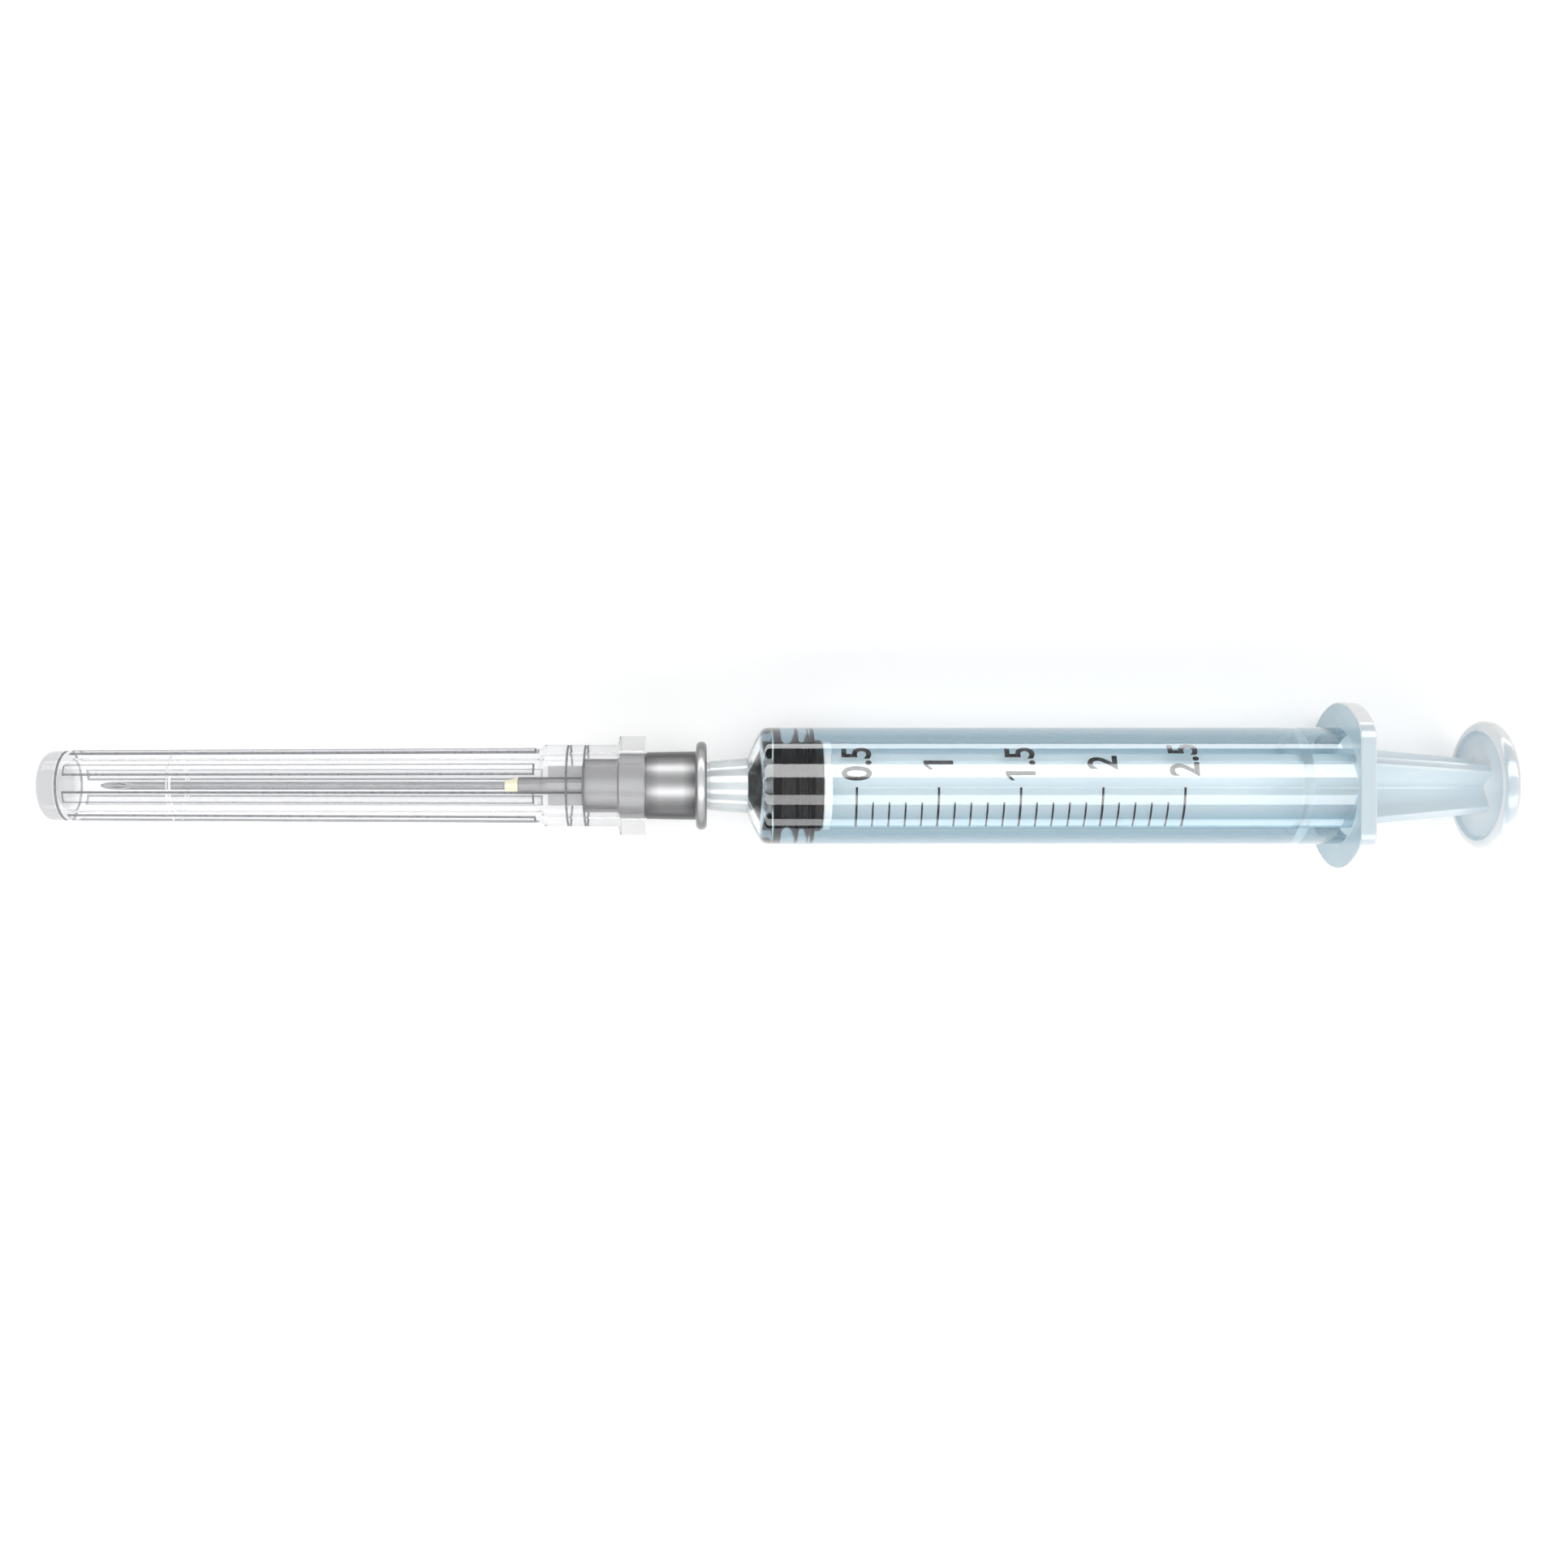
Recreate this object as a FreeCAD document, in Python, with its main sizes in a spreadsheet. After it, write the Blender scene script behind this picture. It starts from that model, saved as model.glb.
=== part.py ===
import FreeCAD, Part
import math
import os

import Sketcher

# A slip-tip syringe of 2.5 ml with its plunger pushed home and a capped needle on its nozzle.
# Everything is turned about one long axis. "Along" is measured on that axis from the plane where the
# nozzle leaves the barrel's shoulder, positive towards the thumb rest and negative towards the needle.
# The syringe lies on the flats of its finger flange: the axis is parallel to X and above Y = 0, and
# the lowest piece touches Z = 0.

doc = FreeCAD.newDocument("slip_tip_syringe")

# Driving dimensions in millimetres and degrees.
DIMENSIONS = {
    # Barrel: one moulding with nozzle, shoulder, tube and finger flange.
    "bore_radius": 4.71,
    "barrel_wall": 0.59,
    "barrel_length": 53.3,
    "shoulder_length": 1.25,
    "shoulder_bevel": 0.6,
    "inner_cone_start": 0.25,
    "inner_cone_setback": 0.95,
    "flange_thickness": 1.45,
    "flange_reach": 2.25,
    "flange_side_reach": 0.45,
    "flange_corner_rounding": 1.2,
    "flange_edge_bevel": 0.3,
    "retaining_ring_setback": 4.1,
    "retaining_ring_height": 0.15,
    "retaining_ring_width": 0.9,
    "bore_lead_in": 0.28,
    # Nozzle: a six per cent cone inside the hub and a stouter root outside it.
    "nozzle_length": 9.5,
    "nozzle_tip_radius": 1.98,
    "nozzle_bore_radius": 1.0,
    "taper_per_side": 0.03,
    "nozzle_root_length": 3.45,
    "nozzle_root_step": 0.08,
    "nozzle_root_flare": 0.3,
    # Scale printed on the outside of the barrel.
    "half_ml_spacing": 7.175,
    "long_mark_width": 0.2,
    "short_mark_width": 0.16,
    "ink_thickness": 0.03,
    "long_mark_start": 1.5,
    "short_mark_start": 16.0,
    "mark_end": 42.5,
    # Stopper: one rubber moulding that seals on its ribs.
    "stopper_clearance": 0.05,
    "stopper_nose_gap": 0.14,
    "stopper_nose_radius": 1.1,
    "cone_edge_clearance": 0.63,
    "front_land_length": 0.25,
    "front_rib_width": 0.66,
    "wide_groove_width": 1.22,
    "wide_groove_depth": 0.89,
    "middle_rib_width": 0.32,
    "narrow_groove_width": 0.8,
    "narrow_groove_depth": 0.78,
    "groove_wall_slope": 0.22,
    "wiper_rib_width": 0.12,
    "wiper_slot_width": 0.16,
    "back_rib_width": 0.36,
    "land_clearance": 0.58,
    "back_land_length": 0.66,
    # Plunger rod: head, support disc, crossed fins and thumb rest in one moulding.
    "head_radius": 2.4,
    "head_length": 1.8,
    "head_nose_length": 0.6,
    "head_nose_radius": 1.4,
    "neck_radius": 1.6,
    "neck_length": 1.45,
    "head_clearance": 0.06,
    "support_disc_gap": 0.12,
    "support_disc_clearance": 0.73,
    "support_disc_thickness": 0.78,
    "fin_clearance": 0.51,
    "fin_thickness": 1.0,
    "fin_taper_length": 12.6,
    "fin_end_half_width": 2.73,
    "thumb_rest_gap": 11.25,
    "thumb_rest_radius": 5.85,
    "thumb_rest_thickness": 1.44,
    "thumb_rim_bevel": 0.45,
    "thumb_rim_width": 0.9,
    "thumb_dish_depth": 0.28,
    "grip_ring_count": 2,
    "grip_ring_depth": 0.15,
    "grip_ring_width": 0.4,
    "grip_ring_pitch": 1.5,
    "rod_turn": -35.0,
    # Needle hub: socket, bead, seat for the cap and finned neck.
    "hub_mouth_gap": 0.23,
    "bead_thickness": 0.98,
    "bead_height": 0.9,
    "bead_bevel": 0.3,
    "hub_cone_length": 4.44,
    "hub_cone_growth": 0.07,
    "hub_stop_step": 0.11,
    "hub_seat_length": 2.45,
    "hub_seat_step": 0.47,
    "hub_waist_length": 3.3,
    "hub_waist_wall": 0.44,
    "hub_neck_length": 5.9,
    "hub_neck_wall": 0.4,
    "hub_fin_height": 1.02,
    "hub_fin_length": 3.2,
    "hub_fin_thickness": 0.5,
    "luer_clearance": 0.03,
    "socket_end_room": 1.78,
    "socket_floor_drop": 1.2,
    # Needle tube and the bead of resin that holds it.
    "needle_radius": 0.36,
    "needle_bore_radius": 0.205,
    "needle_clearance": 0.02,
    "needle_exposed": 38.0,
    "needle_inner_stub": 0.33,
    "bevel_angle": 12.0,
    "resin_length": 1.2,
    "resin_edge": 0.04,
    "resin_tip_wall": 0.06,
    # Needle cap: ribbed tube, stepped base and gripping collar in one moulding.
    "cap_stop_gap": 0.08,
    "cap_mouth_clearance": 0.05,
    "cap_mouth_margin": 0.05,
    "collar_length": 2.4,
    "collar_wall": 1.53,
    "cap_base_length": 6.66,
    "cap_base_clearance": 0.43,
    "cap_base_wall": 0.84,
    "cap_step_length": 0.44,
    "cap_tube_clearance": 0.55,
    "cap_tip_wall": 0.79,
    "cap_tube_draft": 0.22,
    "cap_end_room": 3.3,
    "cap_end_thickness": 1.45,
    "cap_end_bevel": 0.7,
    "cap_rib_count": 8,
    "cap_rib_angle": 20.0,
    "cap_rib_height": 0.12,
    "cap_rib_end_gap": 2.55,
    "cap_rib_root_gap": 0.3,
    "cap_turn": -3.5,
    "cap_line_width": 0.2,
    "cap_line_depth": 0.08,
    "end_line_setback": 2.0,
    "base_line_setback": 3.0,
    "base_line_pitch": 1.55,
}

sheet = doc.addObject("Spreadsheet::Sheet", "Sizes")
for row, (alias, size) in enumerate(DIMENSIONS.items(), start=1):
    sheet.set(f"A{row}", alias)
    sheet.set(f"B{row}", str(size))
    sheet.setAlias(f"B{row}", alias)
doc.recompute()

ALONG_X = FreeCAD.Vector(1, 0, 0)

# Lengths that follow from the driving dimensions, written once and used by every piece that needs them.
BARREL_RADIUS = "(bore_radius + barrel_wall)"
FLANGE_RADIUS = f"({BARREL_RADIUS} + flange_reach)"
FLANGE_HALF_WIDTH = f"({BARREL_RADIUS} + flange_side_reach)"
FLANGE_BACK = "(barrel_length + flange_thickness)"
RING_ALONG = "(barrel_length - retaining_ring_setback)"
INNER_CONE_END = "(shoulder_length + inner_cone_setback)"
INNER_CONE_SLOPE = f"(({INNER_CONE_END} - inner_cone_start) / (bore_radius - nozzle_bore_radius))"
NOZZLE_ROOT_FRONT = "(0 - nozzle_root_length)"
LUER_AT_ROOT = "(nozzle_tip_radius + taper_per_side * (nozzle_length - nozzle_root_length))"
ROOT_FRONT_RADIUS = f"({LUER_AT_ROOT} + nozzle_root_step)"

RIB_RADIUS = "(bore_radius - stopper_clearance)"
LAND_RADIUS = "(bore_radius - land_clearance)"
CONE_EDGE_RADIUS = "(bore_radius - cone_edge_clearance)"
STOPPER_NOSE = (
    f"(inner_cone_start + (stopper_nose_radius - nozzle_bore_radius) * {INNER_CONE_SLOPE}"
    " + stopper_nose_gap)"
)
CONE_END = f"({STOPPER_NOSE} + ({CONE_EDGE_RADIUS} - stopper_nose_radius) * {INNER_CONE_SLOPE})"
FRONT_RIB = f"({CONE_END} + front_land_length)"
WIDE_GROOVE = f"({FRONT_RIB} + front_rib_width)"
MIDDLE_RIB = f"({WIDE_GROOVE} + wide_groove_width)"
NARROW_GROOVE = f"({MIDDLE_RIB} + middle_rib_width)"
WIPER_RIB = f"({NARROW_GROOVE} + narrow_groove_width)"
WIPER_SLOT = f"({WIPER_RIB} + wiper_rib_width)"
BACK_RIB = f"({WIPER_SLOT} + wiper_slot_width)"
BACK_LAND = f"({BACK_RIB} + back_rib_width)"
STOPPER_BACK = f"({BACK_LAND} + back_land_length)"

DISC_FRONT = f"({STOPPER_BACK} + support_disc_gap)"
DISC_BACK = f"({DISC_FRONT} + support_disc_thickness)"
DISC_RADIUS = "(bore_radius - support_disc_clearance)"
NECK_FRONT = f"({DISC_FRONT} - neck_length)"
HEAD_SHOULDER = f"({NECK_FRONT} - head_length)"
HEAD_FRONT = f"({HEAD_SHOULDER} - head_nose_length)"
FIN_HALF_WIDTH = "(bore_radius - fin_clearance)"
THUMB_FRONT = f"({FLANGE_BACK} + thumb_rest_gap)"
THUMB_BACK = f"({THUMB_FRONT} + thumb_rest_thickness)"
DISH_FLOOR = f"({THUMB_FRONT} + thumb_dish_depth)"
DISH_RADIUS = "(thumb_rest_radius - thumb_rim_width)"

HUB_MOUTH = "(0 - nozzle_root_length - hub_mouth_gap)"
BEAD_FRONT = f"({HUB_MOUTH} - bead_thickness)"
HUB_STOP = f"({BEAD_FRONT} - hub_cone_length)"
HUB_SEAT_END = f"({HUB_STOP} - hub_seat_length)"
HUB_WAIST_END = f"({HUB_SEAT_END} - hub_waist_length)"
HUB_FIN_END = f"({HUB_WAIST_END} - hub_fin_length)"
HUB_TIP = f"({HUB_WAIST_END} - hub_neck_length)"
HUB_WAIST_RADIUS = "(nozzle_tip_radius + luer_clearance + hub_waist_wall)"
HUB_SEAT_RADIUS = f"({HUB_WAIST_RADIUS} + hub_seat_step)"
HUB_STOP_RADIUS = f"({HUB_SEAT_RADIUS} + hub_stop_step)"
HUB_CONE_RADIUS = f"({HUB_STOP_RADIUS} + hub_cone_growth)"
BEAD_RADIUS = f"({HUB_CONE_RADIUS} + bead_height)"
NEEDLE_HOLE_RADIUS = "(needle_radius + needle_clearance)"
HUB_NECK_RADIUS = f"({NEEDLE_HOLE_RADIUS} + hub_neck_wall)"
HUB_FIN_RADIUS = f"({HUB_NECK_RADIUS} + hub_fin_height)"
SOCKET_END = "(0 - nozzle_length - socket_end_room)"
SOCKET_FLOOR = f"({SOCKET_END} - socket_floor_drop)"
SOCKET_MOUTH_RADIUS = f"(nozzle_tip_radius + luer_clearance + taper_per_side * (nozzle_length + {HUB_MOUTH}))"
SOCKET_END_RADIUS = "(nozzle_tip_radius + luer_clearance - taper_per_side * socket_end_room)"

NEEDLE_BACK = f"({SOCKET_FLOOR} + needle_inner_stub)"
NEEDLE_TIP = f"({HUB_TIP} - needle_exposed)"
RESIN_TIP = f"({HUB_TIP} - resin_length)"

CAP_MOUTH = f"({HUB_STOP} - cap_stop_gap)"
CAP_MOUTH_END = f"({HUB_SEAT_END} - cap_mouth_margin)"
CAP_MOUTH_RADIUS = f"({HUB_SEAT_RADIUS} + cap_mouth_clearance)"
COLLAR_FRONT = f"({CAP_MOUTH} - collar_length)"
COLLAR_RADIUS = f"({CAP_MOUTH_RADIUS} + collar_wall)"
CAP_BASE_FRONT = f"({COLLAR_FRONT} - cap_base_length)"
CAP_BASE_BORE = f"({HUB_WAIST_RADIUS} + cap_base_clearance)"
CAP_BASE_RADIUS = f"({CAP_BASE_BORE} + cap_base_wall)"
CAP_TUBE_ROOT = f"({CAP_BASE_FRONT} - cap_step_length)"
CAP_TUBE_BORE = f"({HUB_FIN_RADIUS} + cap_tube_clearance)"
CAP_TIP_RADIUS = f"({CAP_TUBE_BORE} + cap_tip_wall)"
CAP_ROOT_RADIUS = f"({CAP_TIP_RADIUS} + cap_tube_draft)"
CAP_BORE_END = f"({NEEDLE_TIP} - cap_end_room)"
CAP_TIP = f"({CAP_BORE_END} - cap_end_thickness)"
CAP_DRAFT = f"(cap_tube_draft / ({CAP_TUBE_ROOT} - {CAP_TIP}))"

AXIS_HEIGHT = f"max(thumb_rest_radius, {FLANGE_HALF_WIDTH})"
CENTRE_SHIFT = f"(0 - ({CAP_TIP} + {THUMB_BACK}) / 2)"

# How far one feature of a moulding runs into the next, so that they make one solid, and how far a
# cut runs past the face that it opens.
ROOT_OVERLAP = "0.1"
CUT_MARGIN = "1"


def bound(expression):
    """An expression in the sheet's aliases, with the sheet's name put before each of them."""
    words = []
    word = ""
    for letter in expression + " ":
        if letter.isalnum() or letter in "_.":
            word += letter
            continue
        words.append("Sizes." + word if word in DIMENSIONS else word)
        words.append(letter)
        word = ""
    return "".join(words).strip()


def number(expression):
    """What an expression in the sheet's aliases comes to."""
    found = sheet.evalExpression(bound(expression))
    return float(getattr(found, "Value", found))


def new_body(name, turn="0"):
    """A body on the common axis, turned about it."""
    body = doc.addObject("PartDesign::Body", name)
    body.Label = name
    body.Placement = FreeCAD.Placement(FreeCAD.Vector(), FreeCAD.Rotation(ALONG_X, 1.0))
    body.setExpression("Placement.Base.x", bound(CENTRE_SHIFT))
    body.setExpression("Placement.Base.z", bound(AXIS_HEIGHT))
    body.setExpression("Placement.Rotation.Angle", bound(turn))
    return body


def new_sketch(body, name, tilt=None):
    """An empty sketch on the body's XZ plane: its first axis is the long axis, its second points up."""
    sketch = body.newObject("Sketcher::SketchObject", name)
    plane = next(item for item in body.Origin.OriginFeatures if item.Role == "XZ_Plane")
    sketch.AttachmentSupport = [(plane, "")]
    sketch.MapMode = "FlatFace"
    if tilt is not None:
        sketch.AttachmentOffset = FreeCAD.Placement(FreeCAD.Vector(), FreeCAD.Rotation(ALONG_X, 1.0))
        sketch.setExpression("AttachmentOffset.Rotation.Angle", bound(tilt))
    return sketch


def add_loop(sketch, corners):
    """Adds a closed run of straight lines. Each corner is (along, out), two expressions."""
    first = sketch.GeometryCount
    points = [FreeCAD.Vector(number(along), number(out), 0) for along, out in corners]
    for start, end in zip(points, points[1:] + points[:1]):
        sketch.addGeometry(Part.LineSegment(start, end), False)
    for side, (along, out) in enumerate(corners):
        line = first + side
        following = first + (side + 1) % len(corners)
        sketch.addConstraint(Sketcher.Constraint("Coincident", line, 2, following, 1))
        for kind, expression in (("DistanceX", along), ("DistanceY", out)):
            size = Sketcher.Constraint(kind, -1, 1, line, 1, number(expression))
            index = sketch.addConstraint(size)
            sketch.setExpression(f"Constraints[{index}]", bound(expression))


def box_corners(left, low, right, high):
    """The corners of an upright rectangle from expressions for its sides."""
    return [(left, low), (right, low), (right, high), (left, high)]


def turned(body, name, loops, angle="360", tilt=None, cut=False):
    """A ring or disc about the long axis, or a part of one, added to the body or cut from it."""
    sketch = new_sketch(body, name + "_profile", tilt)
    for corners in loops:
        add_loop(sketch, corners)
    kind = "PartDesign::Groove" if cut else "PartDesign::Revolution"
    feature = body.newObject(kind, name)
    feature.Profile = sketch
    feature.ReferenceAxis = (sketch, ["H_Axis"])
    feature.Midplane = True
    feature.setExpression("Angle", bound(angle))
    doc.recompute()
    return feature


def plate(body, name, loops, thickness, cut=False):
    """A flat plate through the long axis, or a straight cut across it."""
    sketch = new_sketch(body, name + "_profile")
    for corners in loops:
        add_loop(sketch, corners)
    feature = body.newObject("PartDesign::Pocket" if cut else "PartDesign::Pad", name)
    feature.Profile = sketch
    feature.Midplane = True
    feature.setExpression("Length", bound(thickness))
    doc.recompute()
    return feature


def around(body, name, feature, count, angle):
    """Repeats a feature about the long axis."""
    pattern = body.newObject("PartDesign::PolarPattern", name)
    pattern.Originals = [feature]
    pattern.Axis = (feature.Profile[0], ["H_Axis"])
    pattern.setExpression("Occurrences", bound(count))
    pattern.setExpression("Angle", bound(angle))
    body.Tip = pattern
    doc.recompute()
    return pattern


def row_of(body, name, feature, count, length):
    """Repeats a feature in a straight row along the long axis."""
    pattern = body.newObject("PartDesign::LinearPattern", name)
    pattern.Originals = [feature]
    pattern.Direction = (feature.Profile[0], ["H_Axis"])
    pattern.setExpression("Occurrences", bound(count))
    pattern.setExpression("Length", bound(length))
    body.Tip = pattern
    doc.recompute()
    return pattern


def finished_edges(body, name, edges, size, rounded=False):
    """Bevels or rounds the named edges of the body's last feature."""
    base = body.Tip
    kind = "PartDesign::Fillet" if rounded else "PartDesign::Chamfer"
    feature = body.newObject(kind, name)
    feature.Base = (base, edges)
    feature.setExpression("Radius" if rounded else "Size", bound(size))
    doc.recompute()
    return feature


def rings(feature, *places):
    """Names of the round edges about the long axis at each (along, radius), two expressions."""
    spots = [(number(along), number(radius)) for along, radius in places]
    names = []
    for index, edge in enumerate(feature.Shape.Edges, start=1):
        if not isinstance(edge.Curve, Part.Circle):
            continue
        centre = edge.Curve.Center
        if math.hypot(centre.y, centre.z) > 1e-6:
            continue
        if any(abs(centre.x - x) < 1e-4 and abs(edge.Curve.Radius - r) < 1e-4 for x, r in spots):
            names.append(f"Edge{index}")
    return names


def make_barrel():
    body = new_body("barrel")
    outside = turned(
        body,
        "barrel_outside",
        [
            [
                ("0 - nozzle_length", "0"),
                ("0 - nozzle_length", "nozzle_tip_radius"),
                (NOZZLE_ROOT_FRONT, LUER_AT_ROOT),
                (NOZZLE_ROOT_FRONT, ROOT_FRONT_RADIUS),
                ("0", f"{ROOT_FRONT_RADIUS} + nozzle_root_flare"),
                ("shoulder_length", BARREL_RADIUS),
                (FLANGE_BACK, BARREL_RADIUS),
                (FLANGE_BACK, "0"),
            ]
        ],
    )
    shoulder_edge = rings(outside, ("shoulder_length", BARREL_RADIUS))
    finished_edges(body, "shoulder_corner", shoulder_edge, "shoulder_bevel")
    turned(
        body, "flange_disc", [box_corners("barrel_length", "0", FLANGE_BACK, FLANGE_RADIUS)]
    )
    beyond = f"{FLANGE_RADIUS} + {CUT_MARGIN}"
    behind = f"{FLANGE_BACK} + {CUT_MARGIN}"
    flats = plate(
        body,
        "flange_flats",
        [
            box_corners("barrel_length", FLANGE_HALF_WIDTH, behind, beyond),
            box_corners("barrel_length", f"0 - ({beyond})", behind, f"0 - {FLANGE_HALF_WIDTH}"),
        ],
        f"2 * ({beyond})",
        cut=True,
    )
    ends = flat_ends(flats)
    corners = finished_edges(body, "flange_corners", ends, "flange_corner_rounding", rounded=True)
    finished_edges(body, "flange_edges", flange_rims(corners), "flange_edge_bevel")
    turned(
        body,
        "bore",
        [
            [
                (f"0 - nozzle_length - {CUT_MARGIN}", "0"),
                (f"0 - nozzle_length - {CUT_MARGIN}", "nozzle_bore_radius"),
                ("inner_cone_start", "nozzle_bore_radius"),
                (INNER_CONE_END, "bore_radius"),
                (f"{RING_ALONG} - retaining_ring_width / 2", "bore_radius"),
                (RING_ALONG, "bore_radius - retaining_ring_height"),
                (f"{RING_ALONG} + retaining_ring_width / 2", "bore_radius"),
                (f"{FLANGE_BACK} - bore_lead_in", "bore_radius"),
                (FLANGE_BACK, "bore_radius + bore_lead_in"),
                (behind, "bore_radius + bore_lead_in"),
                (behind, "0"),
            ]
        ],
        cut=True,
    )
    return body


def flat_ends(feature):
    """The four short edges where the flange's flats meet its round ends."""
    front = number("barrel_length")
    names = []
    for index, edge in enumerate(feature.Shape.Edges, start=1):
        if not isinstance(edge.Curve, Part.Line):
            continue
        start, end = (vertex.Point for vertex in edge.Vertexes)
        runs_along = math.hypot(start.y - end.y, start.z - end.z) < 1e-6
        if runs_along and min(start.x, end.x) > front - 1e-3:
            names.append(f"Edge{index}")
    return names


def flange_rims(feature):
    """Every edge of the flange's front and back outline."""
    ends = (number("barrel_length"), number(FLANGE_BACK))
    barrel_radius = number(BARREL_RADIUS)
    names = []
    for index, edge in enumerate(feature.Shape.Edges, start=1):
        points = edge.discretize(5)
        in_face = any(all(abs(point.x - x) < 1e-4 for point in points) for x in ends)
        middle = points[2]
        if in_face and math.hypot(middle.y, middle.z) > barrel_radius + 1e-3:
            names.append(f"Edge{index}")
    return names


def make_graduation_marks():
    """Five long marks, one each half millilitre, with four short ones before each of them."""
    body = new_body("graduation_marks")
    body.AllowCompound = True
    ink_top = f"{BARREL_RADIUS} + ink_thickness"
    long_mark = turned(
        body,
        "long_mark",
        [mark_corners(f"{FRONT_RIB} + half_ml_spacing", "long_mark_width", ink_top)],
        "mark_end - long_mark_start",
        "(mark_end + long_mark_start) / 2",
    )
    row_of(body, "long_marks", long_mark, "5", "4 * half_ml_spacing")
    steps = [f"{FRONT_RIB} + (1 + {step} / 5) * half_ml_spacing" for step in range(1, 5)]
    short_marks = turned(
        body,
        "short_marks",
        [mark_corners(along, "short_mark_width", ink_top) for along in steps],
        "mark_end - short_mark_start",
        "(mark_end + short_mark_start) / 2",
    )
    row_of(body, "short_mark_groups", short_marks, "4", "3 * half_ml_spacing")
    return body


def mark_corners(along, width, top):
    return box_corners(f"{along} - {width} / 2", BARREL_RADIUS, f"{along} + {width} / 2", top)


def make_stopper():
    body = new_body("stopper")
    wide_floor = f"{RIB_RADIUS} - wide_groove_depth"
    narrow_floor = f"{RIB_RADIUS} - narrow_groove_depth"
    turned(
        body,
        "stopper_outside",
        [
            [
                (STOPPER_NOSE, "0"),
                (STOPPER_NOSE, "stopper_nose_radius"),
                (CONE_END, CONE_EDGE_RADIUS),
                (FRONT_RIB, CONE_EDGE_RADIUS),
                (FRONT_RIB, RIB_RADIUS),
                (WIDE_GROOVE, RIB_RADIUS),
                (f"{WIDE_GROOVE} + groove_wall_slope", wide_floor),
                (f"{MIDDLE_RIB} - groove_wall_slope", wide_floor),
                (MIDDLE_RIB, RIB_RADIUS),
                (NARROW_GROOVE, RIB_RADIUS),
                (f"{NARROW_GROOVE} + groove_wall_slope", narrow_floor),
                (f"{WIPER_RIB} - groove_wall_slope", narrow_floor),
                (WIPER_RIB, RIB_RADIUS),
                (WIPER_SLOT, RIB_RADIUS),
                (WIPER_SLOT, LAND_RADIUS),
                (BACK_RIB, LAND_RADIUS),
                (BACK_RIB, RIB_RADIUS),
                (BACK_LAND, RIB_RADIUS),
                (BACK_LAND, LAND_RADIUS),
                (STOPPER_BACK, LAND_RADIUS),
                (STOPPER_BACK, "0"),
            ]
        ],
    )
    turned(
        body,
        "head_socket",
        [
            [
                (f"{HEAD_FRONT} - head_clearance", "0"),
                (f"{HEAD_FRONT} - head_clearance", "head_nose_radius + head_clearance"),
                (f"{HEAD_SHOULDER} - head_clearance", "head_radius + head_clearance"),
                (f"{NECK_FRONT} + head_clearance", "head_radius + head_clearance"),
                (f"{NECK_FRONT} + head_clearance", "neck_radius + head_clearance"),
                (f"{STOPPER_BACK} + {CUT_MARGIN}", "neck_radius + head_clearance"),
                (f"{STOPPER_BACK} + {CUT_MARGIN}", "0"),
            ]
        ],
        cut=True,
    )
    return body


def make_plunger_rod():
    body = new_body("plunger_rod", "rod_turn")
    turned(
        body,
        "head_and_disc",
        [
            [
                (HEAD_FRONT, "0"),
                (HEAD_FRONT, "head_nose_radius"),
                (HEAD_SHOULDER, "head_radius"),
                (NECK_FRONT, "head_radius"),
                (NECK_FRONT, "neck_radius"),
                (DISC_FRONT, "neck_radius"),
                (DISC_FRONT, DISC_RADIUS),
                (DISC_BACK, DISC_RADIUS),
                (DISC_BACK, "0"),
            ]
        ],
    )
    taper_start = f"{THUMB_FRONT} - fin_taper_length"
    fin_start = f"{DISC_BACK} - {ROOT_OVERLAP}"
    fin_end = f"{DISH_FLOOR} + {ROOT_OVERLAP}"
    fins = plate(
        body,
        "fin_pair",
        [
            [
                (fin_start, FIN_HALF_WIDTH),
                (taper_start, FIN_HALF_WIDTH),
                (fin_end, "fin_end_half_width"),
                (fin_end, "0 - fin_end_half_width"),
                (taper_start, f"0 - {FIN_HALF_WIDTH}"),
                (fin_start, f"0 - {FIN_HALF_WIDTH}"),
            ]
        ],
        "fin_thickness",
    )
    around(body, "crossed_fins", fins, "2", "90")
    rest = turned(
        body,
        "thumb_rest",
        [
            [
                (DISH_FLOOR, "0"),
                (DISH_FLOOR, f"{DISH_RADIUS} - thumb_dish_depth"),
                (THUMB_FRONT, DISH_RADIUS),
                (THUMB_FRONT, "thumb_rest_radius"),
                (THUMB_BACK, "thumb_rest_radius"),
                (THUMB_BACK, "0"),
            ]
        ],
    )
    rims = rings(rest, (THUMB_FRONT, "thumb_rest_radius"), (THUMB_BACK, "thumb_rest_radius"))
    finished_edges(body, "thumb_rest_rim", rims, "thumb_rim_bevel")
    turned(body, "grip_rings", grip_ring_loops(), cut=True)
    return body


def grip_ring_loops():
    """Shallow V grooves in the face that the thumb presses."""
    loops = []
    for ring in range(1, int(number("grip_ring_count")) + 1):
        middle = f"{ring} * grip_ring_pitch"
        loops.append(
            [
                (f"{THUMB_BACK} - grip_ring_depth", middle),
                (THUMB_BACK, f"{middle} + grip_ring_width / 2"),
                (THUMB_BACK, f"{middle} - grip_ring_width / 2"),
            ]
        )
    return loops


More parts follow.
